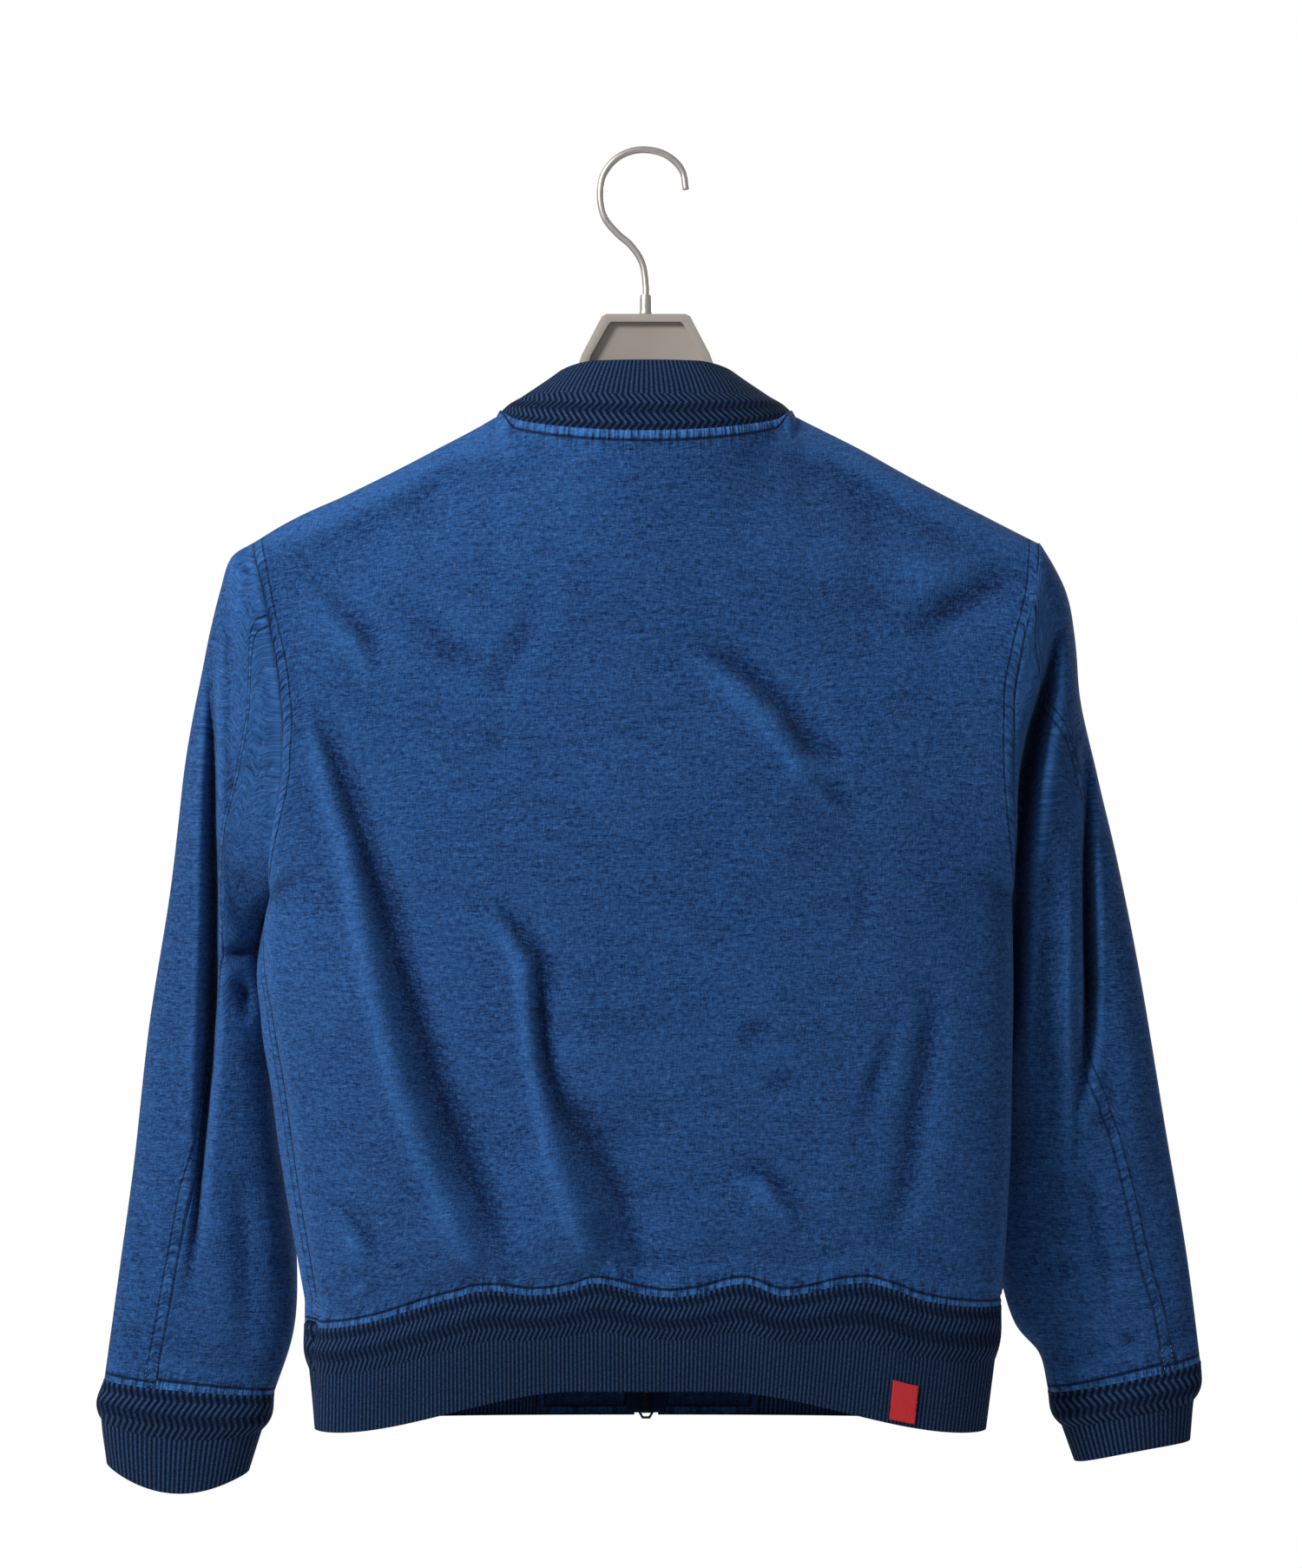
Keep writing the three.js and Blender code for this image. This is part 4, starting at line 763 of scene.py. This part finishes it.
def knit_band(name, at, ends, outward, height, share, slope, spacing, puff, from_top=True,
              bunched=False):
    """A band of rib knit. at(place, down) gives its points, place running between the two ends;
    outward(place) points out of it. Its columns lie spacing apart and follow the ribs."""
    closed = ends[1] - ends[0] == 2 and name.startswith("cuff")
    fine = np.linspace(*ends, 1201)
    if bunched:
        # The hem turns sharply at its sides, laps 1 and 3, so its places crowd together there
        quarter = np.linspace(0, 4, 3201)
        corner_lap = np.where(quarter < 2, 1, 3)
        off = quarter - corner_lap
        fine = np.unique(np.clip(corner_lap + np.sign(off) * np.abs(off) ** 2.6, *ends))
    far = lengths_along(at(fine, np.full_like(fine, 0.5)))
    count = int(round(far[-1] / spacing / 20)) * 20
    even = np.linspace(0, far[-1], count + 1)
    rows = knit_rows(share, height, slope)
    taper = 1 if closed else np.clip(np.minimum(even, far[-1] - even) / 12, 0, 1)
    points, lift, ridge, swell = [], [], [], []
    column = np.arange(count + 1)
    for down, shift, kind, rise in rows:
        moved = even + shift * taper * (1 if from_top else -1)
        place = np.interp(moved % far[-1] if closed else np.clip(moved, 0, far[-1]), far, fine)
        points.append(at(place, np.full_like(place, down)))
        if kind == "rib":
            profile = np.array([0, 0.5, 1, 0.5])[column % 4]
            lift.append(rise + 0.75 * profile)
            swell.append(0)
        else:
            # A quiet leg's lower profile also gives its ridges less painted highlight in the knit material.
            profile = np.array([0, 0.55, 1, 0.7, 0.1])[column % 5] * (0.62 if kind == "quiet" else 1)
            lift.append(rise + 0.85 * profile)
            swell.append(puff * np.sin(np.pi * np.clip(down / (share + 0.01), 0, 1) ** 1.3))
        ridge.append(profile)
    points, lift, ridge = np.array(points), np.array(lift), np.array(ridge)
    lift = lift * np.ones(count + 1)
    normals = surface_normals(evened(points, 2))
    if np.sum(normals * outward(points)) < 0:
        normals = -normals
    if closed:
        normals[:, 0] = normals[:, -1] = normals[:, 1] + normals[:, -2]
        normals /= np.linalg.norm(normals, axis=-1, keepdims=True)
    tuck = points[:1] + (points[:1] - points[1:2]) * 3.5 - normals[:1] * 2.2
    points = np.concatenate([tuck, points + normals * np.array(swell)[:, None, None]])
    normals = np.concatenate([normals[:1], normals])
    lift = np.concatenate([lift[:1], lift])
    ridge = np.concatenate([ridge[:1] * 0, ridge])
    band = cloth(name + "_knit", points, normals, KNIT, lift, {"rib": ridge}, 3, closed)
    dress(band, knit, name)


def hem_surface(lap, down):
    """Points of the hem: lap runs from 0 at the left front edge of the zip round the back to 4."""
    face = np.where((lap > 1) & (lap <= 3), 1, -1)
    across = np.where(lap <= 1, lap, np.where(lap <= 3, 2 - lap, lap - 4))
    share = np.abs(across)
    back = trunk(1, across, np.ones_like(across))
    front = trunk(-1, across, np.ones_like(across))
    points = np.where((face > 0)[..., None], back, front)
    points[..., 2] -= 0.3
    crown = crown_of(share)
    half = np.where(across > 0, 207.5, -213)
    lift = np.where(face > 0, 30 * (1 - step(0.2, 1, share)), 0)
    edge = np.stack([MID + share * half, face * (crown * 40 + 2 * (1 - crown)), -806.5 + lift], axis=-1)
    edge[..., 0] += np.where((face < 0) & (across > 0), 4 * np.sqrt(crown) * step(0.4, 0.97, share), 0)
    points = points + (edge - points) * down[..., None]
    points[..., 1] += face * 2.5 * np.sin(np.pi * down) * crown
    return points


def away_from(x, y):
    """Directions out of a band that lies round the upright line at x, y."""
    return lambda points: points * (1, 1, 0) - (x, y, 0)


BLOCK = 76
HEM_HALF = 222
knit_band("hem_rib", hem_surface, (BLOCK / HEM_HALF, 4 - BLOCK / HEM_HALF), away_from(MID, 0),
          height=62, share=0.417, slope=0.5, spacing=0.65, puff=2.0, bunched=True)


def cuff_surface(outer, inner, sag):
    on_outer, on_inner = path_through(outer), path_through(inner)

    def at(turn, down):
        angle = turn * np.pi
        share = ((1 - np.cos(angle)) / 2)[..., None]
        points = on_outer(down) * (1 - share) + on_inner(down) * share
        depth = np.where(turn > 0, mix(22, 18, down), mix(20, 18, down))
        round_ = np.abs(np.sin(angle)) ** 0.75 * np.sign(np.sin(angle))
        points[..., 1] += (depth + 2 * np.sin(np.pi * down)) * round_
        points[..., 2] -= sag * down * np.sin(angle) ** 2 * np.where(turn > 0, 1, 0.4)
        return points

    return at


knit_band("cuff_left", cuff_surface(
    [SLEEVES["left"]["outer"][-1], (346, -48, -807), (342.5, -48, -838)],
    [SLEEVES["left"]["inner"][-1], (245, -47, -813), (254.5, -46, -843)], 14), (-1, 1), away_from(294, -48),
    height=56, share=0.44, slope=0.6, spacing=0.82, puff=3.2)
knit_band("cuff_right", cuff_surface(
    [SLEEVES["right"]["outer"][-1], (-357, -48, -795), (-354.5, -48, -823)],
    [SLEEVES["right"]["inner"][-1], (-273, -47, -807), (-283.5, -46, -836)], -2), (-1, 1),
    away_from(-316, -48), height=48, share=0.46, slope=0.6, spacing=0.82, puff=3.2)


def collar_surface(angle, up):
    """Points of the collar, the angle in turns of pi from the back's centre towards the left."""
    turned = angle * np.pi
    c, s = np.cos(turned), np.sin(turned)
    back = 52 * np.sign(c) * np.abs(c) ** 0.75 - 30
    rise = -135 - 18 * np.maximum(0, 0.85 - c) ** 1.2 - 22 * np.maximum(0, -c) ** 1.5
    top = np.stack([MID + 62 * s, back, rise], axis=-1)
    share = np.abs(s) * NECK_SHARE
    at_seam = np.zeros_like(s)
    behind, before = (trunk(face, share * np.sign(s), at_seam) for face in (1, -1))
    seam = np.where((c > 0)[..., None], behind, before)
    points = seam + (top - seam) * up[..., None]
    swell = 4 * np.sin(np.pi * up)
    points[..., 0] += swell * s
    points[..., 1] += swell * c
    return points


collar_end = 1 - math.asin(8 / 78) / math.pi
knit_band("collar_rib", collar_surface, (-collar_end, collar_end), away_from(MID, -20),
          height=46, share=0.5, slope=0.85, spacing=0.82, puff=0.8, from_top=False)

# The hem's ends are two flat canvas blocks, topstitched all round, which the zip runs between.
# The blocks' canvas is a darker copy of the body's: painted shade, for their place in the shadow under the
# back's hem.
shaded_canvas = canvas_material(
    "indigo_canvas_block_painted_shade", (0.001, 0.005, 0.024), (0.007, 0.030, 0.100), (0.03, 0.07, 0.17))
BLOCK_ROWS = stations((0, 0.03, 2), (0.03, 0.97, 38), (0.97, 1, 2))
for which, from_lap, to_lap in [("left", ZIP_EDGE / HEM_HALF, BLOCK / HEM_HALF),
                                ("right", 4 - BLOCK / HEM_HALF, 4 - ZIP_EDGE / HEM_HALF)]:
    laps, downs = np.meshgrid(np.linspace(from_lap, to_lap, 60), BLOCK_ROWS)
    points = hem_surface(laps, downs)
    normals = surface_normals(points)
    if normals[..., 1].sum() > 0:
        normals = -normals
    side_gap = np.minimum(np.abs(laps - from_lap), np.abs(laps - to_lap)) * HEM_HALF
    end_gap = np.minimum(downs, 1 - downs) * 60
    edge_gap = np.minimum(side_gap, end_gap)
    relief = 0.7 * groove(edge_gap - 6, 1.0) + 0.8 * groove(edge_gap, 0.7)
    relief = relief + 0.5 * ripples(points, 14, 4.4) * np.exp(-((edge_gap - 5) / 5) ** 2)
    tucked = points[:1] - normals[:1] * 1.9
    tucked[..., 2] += 2.5
    points = np.concatenate([tucked, points])
    normals, relief, edge_gap = (np.concatenate([grid[:1], grid]) for grid in (normals, relief, edge_gap))
    marks = {"strip": edge_gap / 6, "felled": 9}
    sheet = cloth(f"hem_block_{which}_cloth", points, normals, CANVAS, relief, marks)
    dress(sheet, shaded_canvas, f"hem_block_{which}")

# Sewing: rows of pale blue lockstitch along the felled seams and darts, navy ones in the folded
# strips. Each stitch is a slim bead of thread, and a row of them is one piece.
def thread_material(name, colour):
    thread = Finish(name, 0.7)
    dark, light = [c * 0.6 for c in colour], [min(1, c * 1.3) for c in colour]
    return thread.paint(thread.blend(thread.object_noise(Scale=1500), dark, light))


def beside_edge(name, edge, off, start=0.0, end=1.0):
    """A line on a piece's outer side that runs off mm away from one of its edges."""
    points, normals = grids[name + "_cloth"]
    if edge in ("top", "bottom"):
        points, normals = points.transpose(1, 0, 2), normals.transpose(1, 0, 2)
    if edge in ("last", "bottom"):
        points, normals = points[:, ::-1], normals[:, ::-1]
    lines = []
    for row, out in zip(points, normals):
        far = lengths_along(row)
        lines.append([at_length(off, far, row), at_length(off, far, out)])
    rows = len(lines)
    return np.array(lines)[int(start * rows):int(end * rows) + 1]


def pick(piece):
    """Links a new piece to the scene, and selects it alone."""
    bpy.context.scene.collection.objects.link(piece)
    bpy.ops.object.select_all(action="DESELECT")
    bpy.context.view_layer.objects.active = piece
    piece.select_set(True)


def closed_piece(name, corners, faces):
    """One mesh of small closed bodies, its corners in mm and its faces turned outwards."""
    mesh = bpy.data.meshes.new(name)
    mesh.from_pydata([tuple(c * MM) for c in corners], [], faces)
    piece = bpy.data.objects.new(name, mesh)
    pick(piece)
    with all_in_edit_mode():
        bpy.ops.mesh.normals_make_consistent(inside=False)
    return piece


def stitch_rows(name, lines, material, length=2.4, pitch=3.1, thick=0.33, sunk=0.1):
    """Stitches along lines of (point, outward direction) pairs, as one mesh."""
    corners, faces = [], []
    for line in lines:
        points, out = line[:, 0], line[:, 1]
        far = lengths_along(points)
        at = np.arange(pitch / 2, far[-1] - pitch / 2, pitch)
        middle = at_length(at, far, points)
        ahead = at_length(at + 1, far, points) - middle
        ahead /= np.maximum(np.linalg.norm(ahead, axis=-1, keepdims=True), 1e-9)
        up = at_length(at, far, out)
        up /= np.linalg.norm(up, axis=-1, keepdims=True)
        aside = np.cross(up, ahead)
        middle = middle + up * (thick - sunk)
        for m, a, u, w in zip(middle, ahead, up, aside):
            first = len(corners)
            corners += [m - a * length / 2 - u * thick, m + a * length / 2 - u * thick,
                        m + w * thick * 1.2, m - w * thick * 1.2, m + u * thick, m - u * thick * 1.5]
            faces += [(first + i, first + j, first + k) for i, j, k in (
                (0, 4, 2), (4, 1, 2), (1, 4, 3), (4, 0, 3), (0, 2, 5), (2, 1, 5), (1, 3, 5), (3, 0, 5))]
    rows = closed_piece(name, corners, faces)
    bpy.ops.object.shade_smooth()
    dress(rows, material)


def on_back(places):
    """A line over the back through (x, z) places in mm."""
    points, normals = grids["back_panel_cloth"]
    line = []
    fine = np.linspace(0, len(places) - 1, 8 * (len(places) - 1) + 1)
    xs, zs = np.array(places, float).T
    for x, z in zip(np.interp(fine, range(len(xs)), xs), np.interp(fine, range(len(zs)), zs)):
        far = (points[..., 0] - x) ** 2 + (points[..., 2] - z) ** 2
        near = np.argsort(far, axis=None)[:4]
        weight = 1 / (far.ravel()[near] + 0.1)
        weight /= weight.sum()
        y = (points.reshape(-1, 3)[near, 1] * weight).sum()
        line.append([(x, y, z), normals.reshape(-1, 3)[near[0]]])
    return np.array(line)


pale_thread = thread_material("pale_blue_thread", (0.110, 0.205, 0.40))
navy_thread = thread_material("navy_thread", (0.002, 0.006, 0.024))
UNDERARM_PART = 0.46
stitch_rows("armhole_stitches", [
    beside_edge(name, edge, off, 0.02, UNDERARM_PART)
    for name, edge in (("back_panel", "first"), ("back_panel", "last"),
                       ("front_left", "last"), ("front_right", "first"))
    for off in (FELL_EDGE, FELL)
], pale_thread)
stitch_rows("side_seam_stitches", [
    beside_edge("back_panel", edge, off, UNDERARM_PART, 0.985)
    for edge in ("first", "last") for off in (FELL_EDGE, 8.2)
], pale_thread)
stitch_rows("sleeve_seam_stitches", [
    beside_edge(f"sleeve_top_{which}", "last", off, 0.02, 0.985)
    for which in SLEEVES for off in (1.3, SLEEVE_FELL)
], pale_thread)
stitch_rows("dart_stitches", [
    on_back([(136, -204), (131, -231), (126, -259), (121, -283), (118, -294)]),
    on_back([(-135, -197), (-128, -221), (-118, -249), (-109, -271)]),
], pale_thread, thick=0.22)
stitch_rows("dart_end_tack", [
    on_back([(-109 + k * 0.5, -270), (-104.5 + k * 0.5, -276)]) for k in range(3)
], navy_thread, length=2.0, pitch=1.2, thick=0.35)
stitch_rows("strip_stitches", [
    beside_edge("back_panel", "bottom", STRIP), beside_edge("front_left", "bottom", STRIP),
    beside_edge("front_right", "bottom", STRIP), beside_edge("back_panel", "top", NECK_STRIP, 0.33, 0.67),
] + [beside_edge(f"sleeve_{part}_{which}", "bottom", CUFF_STRIP)
     for part in ("top", "under") for which in SLEEVES],
    navy_thread, length=2.6)
stitch_rows("zip_topstitches", [
    beside_edge("front_left", "first", 5.5), beside_edge("front_right", "last", 5.5),
    beside_edge("front_left", "first", 1.2), beside_edge("front_right", "last", 1.2),
], pale_thread)

# The tab: a folded scrap of plain red twill, sewn flat on the rib at the right of the back.
RED_TAB_LAPS, RED_TAB_DOWN = (2.71, 2.785), (0.66, 0.97)
laps, downs = np.meshgrid(np.linspace(*RED_TAB_LAPS, 18), np.linspace(*RED_TAB_DOWN, 20))
points = hem_surface(laps, downs)
points[..., 1] += 2.4
normals = np.zeros_like(points) + (0, 1, 0)
across = np.linspace(-1, 1, 18)[None]
curl = 0.9 * np.abs(across) ** 3 - 0.5 * np.cos(np.linspace(0, 2.2, 20))[:, None]
relief = curl + 0.25 * ripples(points, 6, 8.1)
tab = cloth("hem_tab_cloth", points, normals, 0.9, relief, {})
woven = Finish("red_twill", 0.8)
slant = woven.cloth_place(Rotation=(0, 0, math.radians(40)))
lines = woven.add("TexWave", Vector=slant, Scale=330, Distortion=1.2, Detail=2).outputs["Fac"]
twill = woven.paint(woven.blend(lines, (0.52, 0.006, 0.012), (0.80, 0.025, 0.035)), lines, 1.0, 0.0003)
dress(tab, twill, "hem_tab")
red_thread = thread_material("red_thread", (0.42, 0.004, 0.010))
stitch_rows("tab_stitches", [
    beside_edge("hem_tab", edge, 1.6, 0.1, 0.9) for edge in ("first", "last", "top")
], red_thread, length=1.6, pitch=2.1, thick=0.2)

# The zip: two woven tapes sewn inside the fronts, blocks and collar, closed from hem to collar by
# two rows of dark moulded teeth, with a slider and a six-sided ring pull at either end.
ZIP_INSIDE = CANVAS + 0.85
zip_places = ([("hem", d) for d in np.linspace(0.97, 0, 22)]
              + [("trunk", d) for d in np.linspace(0.985, 0.012, 150)]
              + [("collar", u) for u in np.linspace(0.03, 0.93, 18)])


def zip_surface(x, inside):
    """Points of the zip's line at x mm from its middle and that far inside the fronts' outer side."""
    off = np.array([abs(x) + 1e-6])
    side = 1 if x >= 0 else -1
    line = []
    for part, place in zip_places:
        place = np.array([place])
        if part == "hem":
            p = hem_surface(off / HEM_HALF if side > 0 else 4 - off / HEM_HALF, place)[0]
        elif part == "trunk":
            p = trunk(-1, side * off / HALF, place)[0]
        else:
            half = mix(92, 62, place)
            p = collar_surface(side * (1 - np.arcsin(off / half) / np.pi), place)[0]
        line.append((MID + x, p[1] + inside + (0.7 if part == "collar" else 0), p[2]))
    return np.array(line)


ribbon = Finish("zip_tape", 0.9, Specular_IOR_Level=0.1)
weave = ribbon.add("TexWave", Vector=ribbon.cloth_place(), bands_direction="X", Scale=300, Distortion=1)
weave = weave.outputs["Fac"]
tape = ribbon.paint(ribbon.blend(weave, (0.001, 0.004, 0.016), (0.005, 0.015, 0.050)), weave, 1.0, 0.0002)
for which, xs in [("left", (0.9, 2.2, 3.6, 6, 9, 12)), ("right", (-12, -9, -6, -3.6, -2.2, -0.9))]:
    points = np.stack([zip_surface(x, ZIP_INSIDE) for x in xs], axis=1)
    normals = np.zeros_like(points) + (0, -1, 0)
    cord_edge = np.array([0.35 if abs(x) < 4 else 0 for x in xs])
    strip = cloth(f"zip_tape_{which}_cloth", points, normals, 0.8, np.zeros(points.shape[:2]) + cord_edge, {})
    dress(strip, tape, f"zip_tape_{which}")

TOOTH_PITCH = 2.1
TOOTH_RINGS = ((2.3, 0.7, 0.9), (0.9, 0.62, 1.15), (-0.5, 0.55, 0.95), (-0.9, 0.3, 0.6))
chain = zip_surface(0, ZIP_INSIDE)
far = lengths_along(chain)
corners, faces = [], []
for k, at in enumerate(np.arange(1.5, far[-1] - 1, TOOTH_PITCH / 2)):
    middle = at_length(at, far, chain)
    ahead = at_length(at + 1, far, chain) - middle
    ahead /= np.linalg.norm(ahead)
    out = np.cross(ahead, (1, 0, 0))
    side = 1 if k % 2 else -1
    first = len(corners)
    # Each tooth narrows towards its head, which reaches over the middle
    for across, half_long, half_thick in TOOTH_RINGS:
        for a, b in ((-1, -1), (1, -1), (1, 1), (-1, 1)):
            reach = np.array((side * across, 0, 0))
            corners.append(middle + reach + ahead * half_long * a + out * half_thick * b)
    for ring in range(3):
        for i in range(4):
            a, b = first + ring * 4 + i, first + ring * 4 + (i + 1) % 4
            faces.append((a, b, b + 4, a + 4))
    faces += [(first + 3, first + 2, first + 1, first), (first + 12, first + 13, first + 14, first + 15)]
teeth = closed_piece("zip_teeth", corners, faces)


def hard_material(name, dark, light, metallic, roughness, scale, spread=0.12, coat=0.0):
    """Metal or moulded plastic, its tone and its gloss a little uneven from handling."""
    hard = Finish(name, roughness, Metallic=metallic, Coat_Weight=coat)
    cloud = hard.object_noise(Scale=scale, Detail=4)
    gloss = hard.add("MapRange", Value=cloud, To_Min=roughness - spread, To_Max=roughness + spread)
    hard.tree.links.new(gloss.outputs["Result"], hard.shader.inputs["Roughness"])
    return hard.paint(hard.blend(cloud, dark, light))


dark_metal = hard_material("dark_metal", (0.012, 0.012, 0.013), (0.035, 0.033, 0.032), 1, 0.38, 400)
dress(teeth, dark_metal, "zip_chain")


def bevelled(piece, width, segments, angle, smooth=40):
    """Rounds the edges that turn by more than the angle, and shades the piece smooth."""
    edges = piece.modifiers.new("edges", "BEVEL")
    edges.width = width * MM
    edges.segments = segments
    edges.limit_method = "ANGLE"
    edges.angle_limit = math.radians(angle)
    bpy.ops.object.modifier_apply(modifier="edges")
    bpy.ops.object.shade_smooth_by_angle(angle=math.radians(smooth))


def rounded(node, ending, edge, angle, material, body="jacket_and_hanger", segments=2):
    """The same hard piece as a node of the frame, its edges rounded."""
    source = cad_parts[node]
    piece = source.copy()
    piece.data = source.data.copy()
    piece.name = piece.data.name = f"{node}_{ending}"
    pick(piece)
    piece.parent = None
    with all_in_edit_mode():
        bpy.ops.mesh.remove_doubles(threshold=0.00001)
        bpy.ops.mesh.dissolve_limited(angle_limit=math.radians(1))
    bevelled(piece, edge, segments, angle)
    piece.data.materials.clear()
    dress(piece, material, node, body)


for which in ("bottom", "top"):
    rounded(f"zip_slider_{which}", "metal", 0.3, 30, dark_metal)
    rounded(f"zip_pull_{which}", "ring", 0.35, 30, dark_metal, f"{which}_pull")

# The hanger: moulded in a warm grey pearl plastic, its arms under the shoulders and a recessed
# frame that shows over the collar. A satin nickel hook turns in a ferrule on top.
pearl = hard_material("pearl_plastic", (0.420, 0.372, 0.322), (0.470, 0.420, 0.365), 0.15, 0.36, 60,
                      spread=0.05, coat=0.3)
rounded("hanger_body", "plastic", 1.1, 25, pearl, segments=3)

WIRE = 2.2
HOOK_LINE = [(-30, -23), (-27.5, -11), (-17, -1), (-1, WIRE), (13, -2.5), (22, -13), (24.4, -27),
             (21.5, -41), (13.5, -51), (5, -58.5), (-2, -69), (MID, -83), (MID, -95)]
route = path_through([(x, 0, z) for x, z in HOOK_LINE])(np.linspace(0, 1, 120)) * MM
bend = bpy.data.curves.new("hook_wire", "CURVE")
bend.dimensions = "3D"
run = bend.splines.new("POLY")
run.points.add(len(route) - 1)
for point, at in zip(run.points, route):
    point.co = (*at, 1)
bend.bevel_depth = WIRE * MM
bend.bevel_resolution = 6
bend.use_fill_caps = True
hook = bpy.data.objects.new("hook_wire", bend)
pick(hook)
bpy.ops.object.convert(target="MESH")
hook = bpy.context.object
with all_in_edit_mode():
    bpy.ops.mesh.remove_doubles(threshold=0.00001)
    bpy.ops.mesh.normals_make_consistent(inside=False)
bevelled(hook, 0.7, 3, 50, smooth=50)
nickel = hard_material("satin_nickel", (0.60, 0.56, 0.50), (0.74, 0.70, 0.64), 0.85, 0.38, 250, spread=0.06)
dress(hook, nickel, "hanger_hook")
FERRULE_TOP, FERRULE_LOW, FERRULE_RADIUS = -90, -102.2, 4.4
GROOVES = (-99.35, -92.95)  # two turned grooves, 0.9 mm wide
bpy.ops.object.select_all(action="DESELECT")
bpy.ops.mesh.primitive_cylinder_add(
    vertices=40, radius=FERRULE_RADIUS * MM, depth=(FERRULE_TOP - FERRULE_LOW) * MM,
    location=(MID * MM, 0, (FERRULE_TOP + FERRULE_LOW) / 2 * MM))
ferrule = bpy.context.object
ferrule.name = ferrule.data.name = "hook_ferrule"
bpy.ops.object.transform_apply(location=True, rotation=True, scale=True)
with all_in_edit_mode():
    for level in [groove_z + half for groove_z in GROOVES for half in (-0.45, 0.45)]:
        bpy.ops.mesh.select_all(action="SELECT")
        bpy.ops.mesh.bisect(plane_co=(0, 0, level * MM), plane_no=(0, 0, 1))
for vertex in ferrule.data.vertices:
    z = vertex.co.z / MM
    slim = 0.86 if min(abs(z - groove_z) for groove_z in GROOVES) < 0.5 else 1.0
    slim = 0.8 if z > FERRULE_TOP - 0.5 else slim
    vertex.co.x = MID * MM + (vertex.co.x - MID * MM) * slim
    vertex.co.y *= slim
bevelled(ferrule, 0.35, 2, 25)
dress(ferrule, nickel, "hanger_hook")

# Light, floor and camera: a pale room with a large soft light up on the left of the camera.
bpy.ops.object.select_all(action="DESELECT")
bpy.ops.mesh.primitive_circle_add(vertices=64, radius=1.5, fill_type="NGON", location=(0, 0, -1.6))
floor = bpy.context.object
floor.name = "floor"
pale = bpy.data.materials.new("pale_floor")
pale.use_nodes = True
pale.node_tree.nodes["Principled BSDF"].inputs["Base Color"].default_value = (0.8, 0.8, 0.78, 1)
floor.data.materials.append(pale)
floor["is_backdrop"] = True

scene = bpy.context.scene
world = bpy.data.worlds.new("room")
scene.world = world
world.use_nodes = True
sky, room_links = world.node_tree.nodes, world.node_tree.links
seen, lit = sky["Background"], sky.new("ShaderNodeBackground")
seen.inputs["Color"].default_value = (1, 1, 1, 1)
seen.inputs["Strength"].default_value = 1.0
lit.inputs["Color"].default_value = (0.93, 0.96, 1.0, 1)
lit.inputs["Strength"].default_value = 0.3
ray, either = sky.new("ShaderNodeLightPath"), sky.new("ShaderNodeMixShader")
room_links.new(ray.outputs["Is Camera Ray"], either.inputs["Fac"])
room_links.new(lit.outputs["Background"], either.inputs[1])
room_links.new(seen.outputs["Background"], either.inputs[2])
room_links.new(either.outputs["Shader"], sky["World Output"].inputs["Surface"])


def soft_light(name, place, size, power):
    lamp = bpy.data.objects.new(name, bpy.data.lights.new(name, "AREA"))
    lamp.data.shape = "DISK"
    lamp.data.size = size
    lamp.data.energy = power
    lamp.location = place
    aim = np.array([0, 0, -0.45]) - np.array(place)
    tilt = math.atan2(math.hypot(aim[0], aim[1]), -aim[2])
    lamp.rotation_euler = (tilt, 0, math.atan2(aim[1], aim[0]) - math.pi / 2)
    scene.collection.objects.link(lamp)


soft_light("key", (1.8, 1.45, 1.0), 0.8, 72)
soft_light("front_fill", (-1.6, -2.6, 0.6), 1.6, 40)

camera = bpy.data.objects.new("camera", bpy.data.cameras.new("camera"))
camera.location = (-0.0077, 2.15, -0.3996)
camera.rotation_euler = (math.radians(90), 0, math.radians(180))
camera.data.lens = 77.92
camera.data.clip_start = 0.05
scene.collection.objects.link(camera)
scene.camera = camera
scene.view_settings.view_transform = "Standard"

sizes = {"cad": cad_box, "visual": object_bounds()}
{which: [list(corner) for corner in box] for which, box in sizes.items()}
